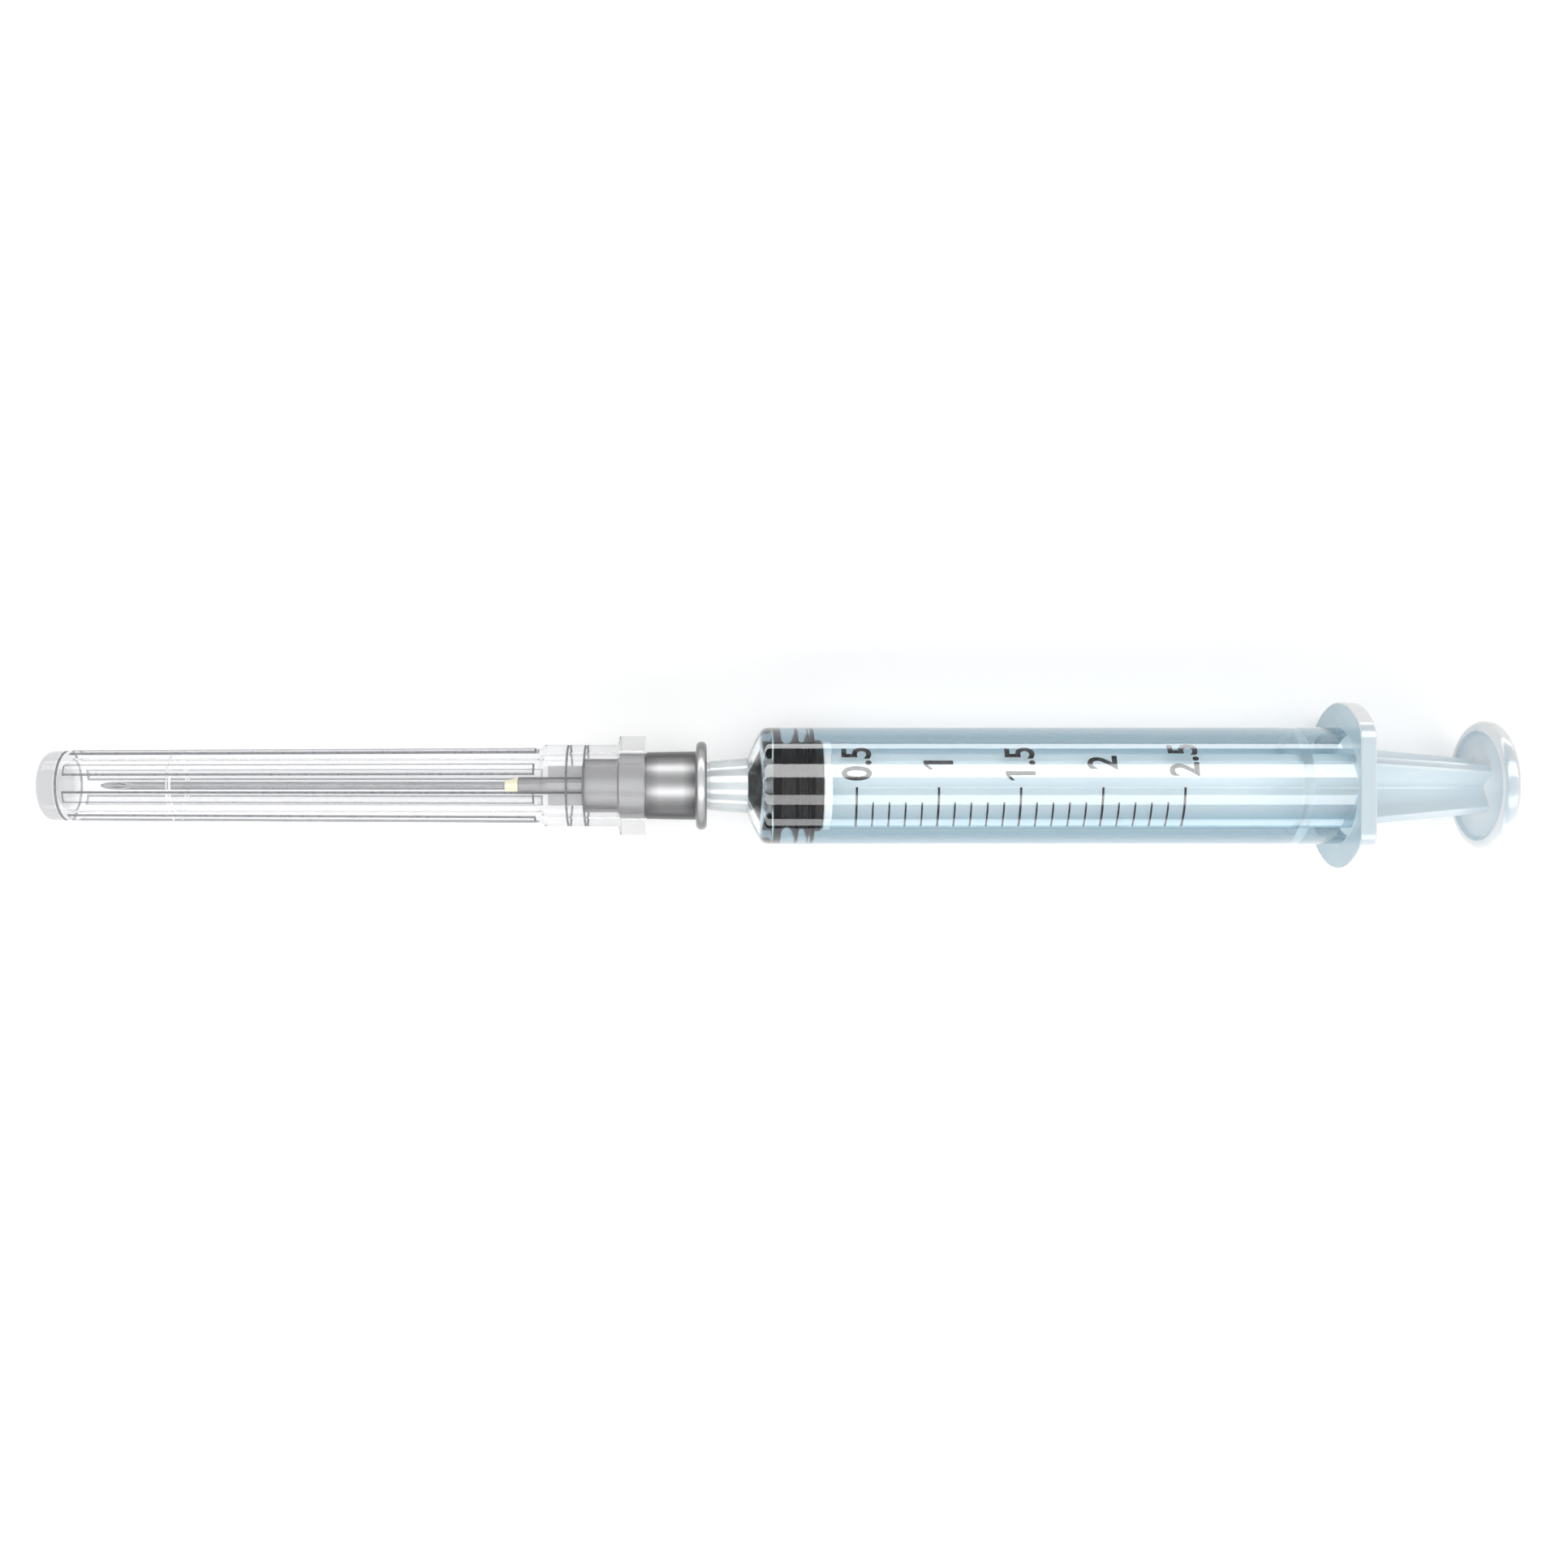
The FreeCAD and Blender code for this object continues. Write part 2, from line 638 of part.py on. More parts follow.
def make_needle_hub():
    body = new_body("needle_hub")
    outside = turned(
        body,
        "hub_outside",
        [
            [
                (HUB_TIP, "0"),
                (HUB_TIP, HUB_NECK_RADIUS),
                (HUB_WAIST_END, HUB_NECK_RADIUS),
                (HUB_WAIST_END, HUB_WAIST_RADIUS),
                (HUB_SEAT_END, HUB_WAIST_RADIUS),
                (HUB_SEAT_END, HUB_SEAT_RADIUS),
                (HUB_STOP, HUB_SEAT_RADIUS),
                (HUB_STOP, HUB_STOP_RADIUS),
                (BEAD_FRONT, HUB_CONE_RADIUS),
                (BEAD_FRONT, BEAD_RADIUS),
                (HUB_MOUTH, BEAD_RADIUS),
                (HUB_MOUTH, "0"),
            ]
        ],
    )
    rims = rings(outside, (BEAD_FRONT, BEAD_RADIUS), (HUB_MOUTH, BEAD_RADIUS))
    finished_edges(body, "bead_edges", rims, "bead_bevel")
    fins = plate(
        body,
        "hub_fin_pair",
        [
            box_corners(
                HUB_FIN_END,
                f"0 - {HUB_FIN_RADIUS}",
                f"{HUB_WAIST_END} + {ROOT_OVERLAP}",
                HUB_FIN_RADIUS,
            )
        ],
        "hub_fin_thickness",
    )
    around(body, "hub_fins", fins, "2", "90")
    turned(
        body,
        "socket",
        [
            [
                (f"{HUB_TIP} - {CUT_MARGIN}", "0"),
                (f"{HUB_TIP} - {CUT_MARGIN}", NEEDLE_HOLE_RADIUS),
                (SOCKET_FLOOR, NEEDLE_HOLE_RADIUS),
                (SOCKET_END, SOCKET_END_RADIUS),
                (HUB_MOUTH, SOCKET_MOUTH_RADIUS),
                (f"{HUB_MOUTH} + {CUT_MARGIN}", SOCKET_MOUTH_RADIUS),
                (f"{HUB_MOUTH} + {CUT_MARGIN}", "0"),
            ]
        ],
        cut=True,
    )
    return body


def make_cannula():
    body = new_body("cannula")
    turned(
        body, "tube", [box_corners(NEEDLE_TIP, "needle_bore_radius", NEEDLE_BACK, "needle_radius")]
    )
    bevel_length = "2 * needle_radius / tan(bevel_angle * 1deg)"
    plate(
        body,
        "bevel",
        [
            [
                (NEEDLE_TIP, "0 - needle_radius"),
                (f"{NEEDLE_TIP} + {bevel_length}", "needle_radius"),
                (f"{NEEDLE_TIP} + {bevel_length}", f"needle_radius + {CUT_MARGIN}"),
                (f"{NEEDLE_TIP} - {CUT_MARGIN}", f"needle_radius + {CUT_MARGIN}"),
                (f"{NEEDLE_TIP} - {CUT_MARGIN}", "0 - needle_radius"),
            ]
        ],
        "4 * needle_radius",
        cut=True,
    )
    return body


def make_resin():
    body = new_body("resin")
    turned(
        body,
        "resin_cone",
        [
            [
                (RESIN_TIP, NEEDLE_HOLE_RADIUS),
                (RESIN_TIP, f"{NEEDLE_HOLE_RADIUS} + resin_tip_wall"),
                (HUB_TIP, f"{HUB_NECK_RADIUS} - resin_edge"),
                (HUB_TIP, NEEDLE_HOLE_RADIUS),
            ]
        ],
    )
    return body


def cap_radius_at(along):
    """The radius of the cap's tapered tube at a place between its end and its root."""
    return f"({CAP_TIP_RADIUS} + {CAP_DRAFT} * ({along} - {CAP_TIP}))"


def make_needle_cap():
    body = new_body("needle_cap", "cap_turn")
    outside = turned(
        body,
        "cap_outside",
        [
            [
                (CAP_TIP, "0"),
                (CAP_TIP, CAP_TIP_RADIUS),
                (CAP_TUBE_ROOT, CAP_ROOT_RADIUS),
                (CAP_BASE_FRONT, CAP_BASE_RADIUS),
                (COLLAR_FRONT, CAP_BASE_RADIUS),
                (COLLAR_FRONT, COLLAR_RADIUS),
                (CAP_MOUTH, COLLAR_RADIUS),
                (CAP_MOUTH, "0"),
            ]
        ],
    )
    finished_edges(body, "cap_end", rings(outside, (CAP_TIP, CAP_TIP_RADIUS)), "cap_end_bevel")
    rib_front = f"({CAP_TIP} + cap_rib_end_gap)"
    rib_back = f"({CAP_TUBE_ROOT} - cap_rib_root_gap)"
    sunk = "cap_tip_wall / 4"
    rib = turned(
        body,
        "cap_rib",
        [
            [
                (rib_front, f"{cap_radius_at(rib_front)} - {sunk}"),
                (rib_front, f"{cap_radius_at(rib_front)} + cap_rib_height"),
                (rib_back, f"{cap_radius_at(rib_back)} + cap_rib_height"),
                (rib_back, f"{cap_radius_at(rib_back)} - {sunk}"),
            ]
        ],
        "cap_rib_angle",
        "180 / cap_rib_count",
    )
    around(body, "cap_ribs", rib, "cap_rib_count", "360")
    end_line = f"({CAP_TIP} + end_line_setback)"
    base_line = f"({COLLAR_FRONT} - base_line_setback)"
    lines = [
        (end_line, cap_radius_at(end_line)),
        (base_line, CAP_BASE_RADIUS),
        (f"({base_line} - base_line_pitch)", CAP_BASE_RADIUS),
    ]
    turned(body, "cap_lines", [line_corners(along, radius) for along, radius in lines], cut=True)
    bore_bevel = f"({CAP_TUBE_BORE} / 2)"
    turned(
        body,
        "cap_bore",
        [
            [
                (CAP_BORE_END, "0"),
                (CAP_BORE_END, f"{CAP_TUBE_BORE} - {bore_bevel}"),
                (f"{CAP_BORE_END} + {bore_bevel}", CAP_TUBE_BORE),
                (CAP_TUBE_ROOT, CAP_TUBE_BORE),
                (CAP_BASE_FRONT, CAP_BASE_BORE),
                (CAP_MOUTH_END, CAP_BASE_BORE),
                (CAP_MOUTH_END, CAP_MOUTH_RADIUS),
                (f"{CAP_MOUTH} + {CUT_MARGIN}", CAP_MOUTH_RADIUS),
                (f"{CAP_MOUTH} + {CUT_MARGIN}", "0"),
            ]
        ],
        cut=True,
    )
    return body


def line_corners(along, radius):
    """A fine groove round the cap, open to the outside."""
    half = "cap_line_width / 2"
    return box_corners(
        f"{along} - {half}",
        f"{radius} - cap_line_depth",
        f"{along} + {half}",
        f"{radius} + {CUT_MARGIN}",
    )


pieces = [
    make_barrel(),
    make_graduation_marks(),
    make_stopper(),
    make_plunger_rod(),
    make_needle_hub(),
    make_cannula(),
    make_resin(),
    make_needle_cap(),
]
doc.recompute()

for item in doc.Objects:
    if "Invalid" in item.State or "Error" in item.State:
        raise RuntimeError(f"{item.Name} did not build: {item.State}")
for piece in pieces:
    if piece.Shape.isNull() or not piece.Shape.isValid():
        raise RuntimeError(f"{piece.Label} has no valid shape")

os.makedirs("parts", exist_ok=True)
for piece in pieces:
    piece.Shape.exportStep(f"parts/{piece.Label}.step")
    print(f"{piece.Label}: {len(piece.Shape.Solids)} solids, {piece.Shape.Volume:.2f} cubic mm")
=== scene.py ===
"""A capped 2.5 ml slip-tip syringe lying on a white table under soft strip lights."""

import math

import bmesh
import bpy
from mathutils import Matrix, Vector


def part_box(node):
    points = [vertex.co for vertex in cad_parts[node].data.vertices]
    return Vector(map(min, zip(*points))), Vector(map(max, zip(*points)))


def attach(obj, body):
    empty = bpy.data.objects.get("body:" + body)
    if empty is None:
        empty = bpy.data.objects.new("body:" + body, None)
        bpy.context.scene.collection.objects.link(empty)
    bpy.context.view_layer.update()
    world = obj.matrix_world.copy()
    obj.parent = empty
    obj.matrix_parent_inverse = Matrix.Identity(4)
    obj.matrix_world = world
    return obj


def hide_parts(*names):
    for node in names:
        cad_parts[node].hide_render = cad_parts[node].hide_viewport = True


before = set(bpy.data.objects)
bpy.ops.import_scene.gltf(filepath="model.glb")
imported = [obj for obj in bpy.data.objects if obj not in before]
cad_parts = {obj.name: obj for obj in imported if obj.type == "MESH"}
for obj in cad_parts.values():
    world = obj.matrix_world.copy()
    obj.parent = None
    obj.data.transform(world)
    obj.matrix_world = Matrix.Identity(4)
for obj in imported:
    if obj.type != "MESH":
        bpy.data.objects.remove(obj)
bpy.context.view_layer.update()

# Sizes below are in millimetres and degrees. "Along" is measured on the long axis from the plane
# where the nozzle leaves the shoulder, positive towards the thumb rest. "Out" is the distance from
# the axis. Angles round the axis start at the top and grow towards +Y.
MM = 0.001
NOZZLE_LENGTH = 9.5
barrel_low, barrel_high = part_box("barrel")
SHOULDER_X = barrel_low.x + NOZZLE_LENGTH * MM
AXIS_Z = (barrel_low.z + barrel_high.z) / 2
AROUND = 144
FACET_TURN = 10.0
SUPPORT = 0.05
SHARP_ANGLE = 28.0
OVERLAP = 0.1
WELD_DISTANCE = 1e-8


def end_of(node, side):
    """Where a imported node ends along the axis: side 0 is its needle end, side 1 its thumb end."""
    return (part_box(node)[side].x - SHOULDER_X) / MM


def spot(along, out, angle):
    """The point at that place along, distance out and angle round the axis, in metres."""
    turn = math.radians(angle)
    return Vector(
        (
            SHOULDER_X + along * MM,
            math.sin(turn) * out * MM,
            AXIS_Z + math.cos(turn) * out * MM,
        )
    )


# Outlines and turned shapes

def corner_arc(before, corner, after, rounding):
    """Points of the arc that rounds a corner between its two neighbours."""
    here = Vector(corner)
    to_before = (Vector(before) - here).normalized()
    to_after = (Vector(after) - here).normalized()
    half = to_before.angle(to_after) / 2
    centre = here + (to_before + to_after).normalized() * (rounding / math.sin(half))
    setback = rounding / math.tan(half)
    first = here + to_before * setback - centre
    last = here + to_after * setback - centre
    start = math.atan2(first.y, first.x)
    turn = math.atan2(last.y, last.x) - start
    turn = (turn + math.pi) % (2 * math.pi) - math.pi
    steps = max(2, math.ceil(abs(math.degrees(turn)) / FACET_TURN))
    arc = []
    for step in range(steps + 1):
        angle = start + turn * step / steps
        arc.append(centre + Vector((math.cos(angle), math.sin(angle))) * rounding)
    return arc


def outline(corners, closed=False):
    """Rounds each (along, out, rounding) corner and puts a support point beside each arc."""
    points = []
    count = len(corners)
    for index, (along, out, rounding) in enumerate(corners):
        on_end = not closed and index in (0, count - 1)
        if on_end or rounding == 0:
            points.append([Vector((along, out))])
            continue
        before = corners[index - 1][:2]
        after = corners[(index + 1) % count][:2]
        points.append(corner_arc(before, (along, out), after, rounding))
    run = []
    for index, arc in enumerate(points):
        run.extend(arc)
        if index == count - 1 and not closed:
            break
        start = arc[-1]
        step = points[(index + 1) % count][0] - start
        if step.length > 3 * SUPPORT:
            inset = step.normalized() * SUPPORT
            run.extend([start + inset, start + step - inset])
    return run


def new_object(name, data):
    made = bpy.data.objects.new(name, data)
    bpy.context.scene.collection.objects.link(made)
    return made


def plain_mesh(holder):
    """The mesh that the holder's modifiers or curves come to. The holder itself is removed."""
    graph = bpy.context.evaluated_depsgraph_get()
    mesh = bpy.data.meshes.new_from_object(holder.evaluated_get(graph))
    bpy.data.objects.remove(holder)
    return mesh


def mesh_of(name, shape, materials):
    """The finished shape as a mesh with these materials."""
    mesh = bpy.data.meshes.new(name)
    shape.to_mesh(mesh)
    shape.free()
    for material in materials:
        mesh.materials.append(material)
    return mesh


def smooth_piece(name, mesh):
    mesh.shade_smooth()
    mesh.set_sharp_from_angle(angle=math.radians(SHARP_ANGLE))
    return new_object(name, mesh)


def add_turned(shape, points, closed, out_at=None, slot_at=None):
    """Adds the outline turned about the axis. out_at(out, angle) reshapes a ring, and
    slot_at(middle) picks the material slot of a band from the middle of its outline, whose x is
    along and whose y is out."""
    rings = []
    for along, out in points:
        if out < SUPPORT / 100:
            rings.append([shape.verts.new(spot(along, 0, 0))])
            continue
        ring = []
        for step in range(AROUND):
            angle = 360 * step / AROUND
            reached = out_at(out, angle) if out_at else out
            ring.append(shape.verts.new(spot(along, reached, angle)))
        rings.append(ring)
    followers = rings[1:] + rings[:1] if closed else rings[1:]
    for index, (ring, following) in enumerate(zip(rings, followers)):
        if len(ring) == len(following) == 1:
            continue
        start = points[index]
        end = points[(index + 1) % len(points)]
        slot = slot_at((start + end) / 2) if slot_at else 0
        for step in range(AROUND):
            beside = (step + 1) % AROUND
            corners = [
                ring[step % len(ring)],
                ring[beside % len(ring)],
                following[beside % len(following)],
                following[step % len(following)],
            ]
            face = shape.faces.new(list(dict.fromkeys(corners)))
            face.material_index = slot


def add_loft(shape, rings):
    """Joins rings of equally many points and closes both ends."""
    rows = [[shape.verts.new(point) for point in ring] for ring in rings]
    for row, following in zip(rows, rows[1:]):
        for step, corner in enumerate(row):
            beside = (step + 1) % len(row)
            shape.faces.new([corner, row[beside], following[beside], following[step]])
    shape.faces.new(rows[0])
    shape.faces.new(rows[-1])


def closed_piece(name, shape, *finishes):
    """Makes a piece of the finished shape, with its faces outwards and its curves smooth."""
    bmesh.ops.remove_doubles(shape, verts=shape.verts, dist=WELD_DISTANCE)
    bmesh.ops.recalc_face_normals(shape, faces=shape.faces)
    materials = [finish.material for finish in finishes]
    return smooth_piece(name, mesh_of(name, shape, materials))


def dress(piece, body, slot, *nodes):
    """The piece moves with a body and stands for the nodes. The slot is not used."""
    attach(piece, body)
    if nodes:
        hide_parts(*nodes)


# Materials

NOISE_DETAIL = 3


class Shader:
    """A material with one Principled node that its features feed."""

    def __init__(self, name, colour, roughness, **sockets):
        self.material = bpy.data.materials.new(name)
        self.material.use_nodes = True
        self.tree = self.material.node_tree
        self.main = self.tree.nodes["Principled BSDF"]
        self.out = self.tree.nodes["Material Output"]
        self.main.inputs["Base Color"].default_value = (*colour, 1)
        self.main.inputs["Roughness"].default_value = roughness
        for socket, value in sockets.items():
            self.main.inputs[socket.replace("_", " ")].default_value = value
        self.colour = colour
        self.shade = None
        self.roughness = roughness
        self.place = self.tree.nodes.new("ShaderNodeTexCoord").outputs["Object"]

    def node(self, kind, **settings):
        made = self.tree.nodes.new(kind)
        for name, value in settings.items():
            setattr(made, name, value)
        return made

    def link(self, start, end):
        self.tree.links.new(start, end)

    def noise(self, size, stretch=(1, 1, 1)):
        """Noise whose blobs are about size millimetres across, stretched along each axis."""
        place = self.node("ShaderNodeMapping")
        place.inputs["Scale"].default_value = [1 / (size * MM * part) for part in stretch]
        self.link(self.place, place.inputs["Vector"])
        noise = self.node("ShaderNodeTexNoise")
        noise.inputs["Scale"].default_value = 1
        noise.inputs["Detail"].default_value = NOISE_DETAIL
        self.link(place.outputs["Vector"], noise.inputs["Vector"])
        return noise.outputs["Fac"]

    def ranged(self, source, low, high, start=0.3, end=0.7):
        fit = self.node("ShaderNodeMapRange")
        fit.inputs["From Min"].default_value = start
        fit.inputs["From Max"].default_value = end
        fit.inputs["To Min"].default_value = low
        fit.inputs["To Max"].default_value = high
        self.link(source, fit.inputs["Value"])
        return fit.outputs["Result"]

    def tinted(self, other, share):
        """The colour turns into another one as the share grows to one."""
        mix = self.node("ShaderNodeMix", data_type="RGBA")
        mix.inputs["A"].default_value = (*self.colour, 1)
        mix.inputs["B"].default_value = (*other, 1)
        if self.shade:
            self.link(self.shade, mix.inputs["A"])
        self.shade = mix.outputs["Result"]
        self.link(share, mix.inputs["Factor"])
        self.link(self.shade, self.main.inputs["Base Color"])
        return self

    def mottled(self, other, size, stretch=(1, 1, 1)):
        """The colour drifts between its own value and another one."""
        return self.tinted(other, self.ranged(self.noise(size, stretch), 0, 1))

    def rim_tint_and_painted_light(self, other, start, end):
        """The colour turns into another one towards the rim as seen. On clear walls this is the
        deeper tint where light takes a longer way; on the hub, its bead and the nozzle it is
        painted shade at the edges, on the pale rims a painted highlight, and on the cap painted
        shade along its middle.
        """
        weight = self.node("ShaderNodeLayerWeight")
        return self.tinted(other, self.ranged(weight.outputs["Facing"], 0, 1, start, end))

    def fades_along(self, other, start, end):
        """The colour turns into another one from one place along the axis to another."""
        first, last = (SHOULDER_X + place * MM for place in (start, end))
        return self.tinted(other, self.ranged(self.long_axis(), 0, 1, first, last))

    def fades_out(self, other, start, end):
        """The colour turns into another one from one distance off the axis to another."""
        level = self.node("ShaderNodeVectorMath", operation="SUBTRACT")
        self.link(self.place, level.inputs[0])
        level.inputs[1].default_value = (0, 0, AXIS_Z)
        across = self.node("ShaderNodeVectorMath", operation="MULTIPLY")
        self.link(level.outputs["Vector"], across.inputs[0])
        across.inputs[1].default_value = (0, 1, 1)
        length = self.node("ShaderNodeVectorMath", operation="LENGTH")
        self.link(across.outputs["Vector"], length.inputs[0])
        share = self.ranged(length.outputs["Value"], 0, 1, start * MM, end * MM)
        return self.tinted(other, share)

    def long_axis(self):
        parts = self.node("ShaderNodeSeparateXYZ")
        self.link(self.place, parts.inputs["Vector"])
        return parts.outputs["X"]

    def milky_line(self, along, width, clear, milky):
        """A fine line round the piece where less light passes through."""
        near = self.node("ShaderNodeMath", operation="COMPARE")
        self.link(self.long_axis(), near.inputs[0])
        near.inputs[1].default_value = SHOULDER_X + along * MM
        near.inputs[2].default_value = width / 2 * MM
        passing = self.ranged(near.outputs[0], clear, milky, 0, 1)
        self.link(passing, self.main.inputs["Transmission Weight"])
        return self

    def uneven_gloss(self, spread, size, stretch=(1, 1, 1)):
        """The roughness varies by spread each way."""
        low, high = max(0, self.roughness - spread), self.roughness + spread
        value = self.ranged(self.noise(size, stretch), low, high)
        self.link(value, self.main.inputs["Roughness"])
        return self

    def bumpy(self, height, size, stretch=(1, 1, 1)):
        """Bumps of that height in millimetres."""
        bump = self.node("ShaderNodeBump")
        bump.inputs["Distance"].default_value = height * MM
        self.link(self.noise(size, stretch), bump.inputs["Height"])
        self.link(bump.outputs["Normal"], self.main.inputs["Normal"])
        return self

    def clears_lamps(self, tint):
        """Lamps shine through, weakened by the tint at each face."""
        through = self.node("ShaderNodeBsdfTransparent")
        through.inputs["Color"].default_value = (*tint, 1)
        mix = self.node("ShaderNodeMixShader")
        path = self.node("ShaderNodeLightPath")
        self.link(path.outputs["Is Shadow Ray"], mix.inputs["Fac"])
        self.link(self.main.outputs["BSDF"], mix.inputs[1])
        self.link(through.outputs["BSDF"], mix.inputs[2])
        self.link(mix.outputs["Shader"], self.out.inputs["Surface"])
        return self


HUB_STOP = -9.1
BEAD_FRONT = -4.66
HUB_FADE = 1.2
CAP_TIP = end_of("needle_cap", 0)
END_LINE = CAP_TIP + 2.0
END_FADE = 0.3
MOULD_LINE = CAP_TIP + 11.9
MOULD_LINE_WIDTH = 0.18
CLEAR_IOR = 1.49
BARREL_IOR = 1.3
CAP_IOR = 1.04
BARREL_FACE_ON = (0.77, 0.77, 0.765)
BARREL_EDGE_ON = (0.27, 0.41, 0.49)

barrel_clear = Shader(
    "barrel_clear",
    BARREL_FACE_ON,
    0.05,
    IOR=BARREL_IOR,
    Transmission_Weight=1.0,
    Coat_Weight=1.0,
    Coat_IOR=1.6,
    Coat_Roughness=0.03,
)
barrel_clear.uneven_gloss(0.01, 4, (6, 1, 1)).rim_tint_and_painted_light(BARREL_EDGE_ON, 0.06, 0.225)
barrel_clear.clears_lamps((0.95, 0.97, 0.98))

barrel_bore = Shader(
    "barrel_bore", (0.98, 0.99, 0.99), 0.06, IOR=BARREL_IOR, Transmission_Weight=1.0
)
barrel_bore.uneven_gloss(0.01, 4, (6, 1, 1)).clears_lamps((0.97, 0.98, 0.99))

nozzle_clear = Shader(
    "nozzle_clear",
    (0.86, 0.90, 0.91),
    0.2,
    IOR=BARREL_IOR,
    Transmission_Weight=0.5,
    Coat_Weight=1.0,
    Coat_IOR=1.8,
    Coat_Roughness=0.12,
)
# Painted shade: the nozzle turns dark grey towards its rims as seen.
nozzle_clear.uneven_gloss(0.04, 0.8).rim_tint_and_painted_light((0.42, 0.44, 0.45), 0.2, 0.8)
nozzle_clear.clears_lamps((0.9, 0.92, 0.92))

barrel_thick = Shader(
    "barrel_thick",
    (0.60, 0.76, 0.84),
    0.16,
    IOR=CLEAR_IOR,
    Transmission_Weight=0.3,
    Coat_Weight=0.6,
    Coat_Roughness=0.06,
)
barrel_thick.mottled((0.68, 0.82, 0.88), 3).clears_lamps((0.85, 0.92, 0.95))

rod_plastic = Shader(
    "rod_plastic", (0.68, 0.77, 0.82), 0.22, IOR=CLEAR_IOR, Coat_Weight=0.5, Coat_Roughness=0.08
)
rod_plastic.mottled((0.71, 0.80, 0.845), 4, (3, 1, 1)).uneven_gloss(0.04, 0.8)
rod_plastic.bumpy(0.002, 0.6)

# Painted light and shade: the thumb rest's dish is white in its middle and turns pale blue towards
# its rim.
dish = Shader(
    "thumb_dish_painted_light", (0.98, 0.985, 0.99), 0.25, IOR=CLEAR_IOR, Coat_Weight=0.5, Coat_Roughness=0.1
)
dish.fades_out((0.68, 0.80, 0.87), 1.5, 5.0).uneven_gloss(0.03, 2.0)

# Painted highlight: the support disc's edge is a nearly white copy of the rod's plastic.
disc_painted_light = Shader(
    "disc_painted_light", (0.97, 0.98, 0.985), 0.2, IOR=CLEAR_IOR, Coat_Weight=0.5, Coat_Roughness=0.08
)
disc_painted_light.mottled((0.93, 0.95, 0.96), 2).uneven_gloss(0.03, 1.5)

# Painted highlight: the flange's rim, the retaining ring and the thumb rest's rim are an opaque
# pale copy of the plastics that turns almost white towards the rim as seen.
rim_painted_highlight = Shader(
    "rim_painted_highlight", (0.68, 0.79, 0.84), 0.18, IOR=CLEAR_IOR, Coat_Weight=0.6, Coat_Roughness=0.06
)
rim_painted_highlight.rim_tint_and_painted_light((0.97, 0.98, 0.985), 0.09, 0.4).uneven_gloss(0.03, 1.5)

rubber = Shader("stopper_rubber", (0.010, 0.008, 0.009), 0.5, Specular_IOR_Level=0.1)
rubber.uneven_gloss(0.1, 0.4).bumpy(0.004, 0.15)

hub_plastic = Shader(
    "hub_plastic",
    (0.22, 0.22, 0.225),
    0.4,
    Metallic=0.7,
    Coat_Weight=0.4,
    Coat_Roughness=0.32,
)
# Painted light and shade: the hub is lighter on its bare cone, where the highlights fall, darker
# inside the cap and towards the bead, and dark at its edges as seen.
hub_plastic.fades_along((0.5, 0.5, 0.505), HUB_STOP, HUB_STOP + HUB_FADE)
hub_plastic.fades_along((0.2, 0.2, 0.205), BEAD_FRONT - HUB_FADE, BEAD_FRONT)
hub_plastic.rim_tint_and_painted_light((0.06, 0.06, 0.063), 0.1, 0.5).uneven_gloss(0.03, 1.5, (4, 1, 1))

# Painted highlight and shade: the bead is a light copy of the hub's plastic, dark at its edges as
# seen.
hub_bead_painted_light = Shader(
    "hub_bead_painted_light",
    (0.85, 0.85, 0.855),
    0.3,
    Metallic=0.3,
    Coat_Weight=0.4,
    Coat_Roughness=0.2,
)
hub_bead_painted_light.rim_tint_and_painted_light((0.2, 0.2, 0.203), 0.05, 0.5).uneven_gloss(0.03, 1.0)

steel = Shader("needle_steel", (0.26, 0.262, 0.27), 0.28, Metallic=1.0)
steel.uneven_gloss(0.08, 0.1, (60, 1, 1)).bumpy(0.001, 0.05, (80, 1, 1))

resin_set = Shader(
    "resin_set", (0.98, 0.93, 0.60), 0.2, IOR=1.5, Transmission_Weight=0.1, Coat_Weight=0.3
)
resin_set.mottled((0.99, 0.95, 0.70), 0.5).clears_lamps((0.95, 0.92, 0.7))

cap_clear = Shader(
    "cap_clear",
    (0.88, 0.882, 0.888),
    0.03,
    IOR=CAP_IOR,
    Coat_Weight=0.4,
    Coat_IOR=1.6,
    Coat_Roughness=0.08,
)
# Painted shade: the cap is greyer along its middle as seen and towards its closed end; the deeper
# grey at its rim is the tint of its wall.
cap_clear.rim_tint_and_painted_light((0.925, 0.926, 0.93), 0.012, 0.09).rim_tint_and_painted_light((0.76, 0.76, 0.77), 0.5, 1.0)
cap_clear.fades_along((0.62, 0.622, 0.63), END_LINE, END_LINE - END_FADE)
cap_clear.uneven_gloss(0.005, 4, (6, 1, 1))
cap_clear.milky_line(MOULD_LINE, MOULD_LINE_WIDTH, 0.96, 0.2).clears_lamps((0.96, 0.96, 0.965))

# Painted shade: the walls of the fine grooves and the ribs' flanks are dark grey and less clear.
cap_edge_painted_shade = Shader("cap_edge_painted_shade", (0.28, 0.285, 0.30), 0.3, IOR=CAP_IOR, Transmission_Weight=0.25)
cap_edge_painted_shade.uneven_gloss(0.08, 0.5).clears_lamps((0.85, 0.85, 0.86))

cap_milky = Shader(
    "cap_milky",
    (0.91, 0.912, 0.915),
    0.08,
    IOR=1.06,
    Transmission_Weight=0.88,
    Coat_Weight=0.6,
    Coat_Roughness=0.06,
)
cap_milky.mottled((0.94, 0.94, 0.945), 1.5).clears_lamps((0.9, 0.9, 0.905))

print_ink = Shader(
    "print_ink",
    (0.012, 0.011, 0.012),
    0.3,
    IOR=1.5,
    Coat_Weight=1.0,
    Coat_IOR=1.6,
    Coat_Roughness=0.05,
)
print_ink.uneven_gloss(0.1, 0.3).mottled((0.03, 0.028, 0.03), 0.5)


# Plates bent round the axis, made and repeated by geometry nodes

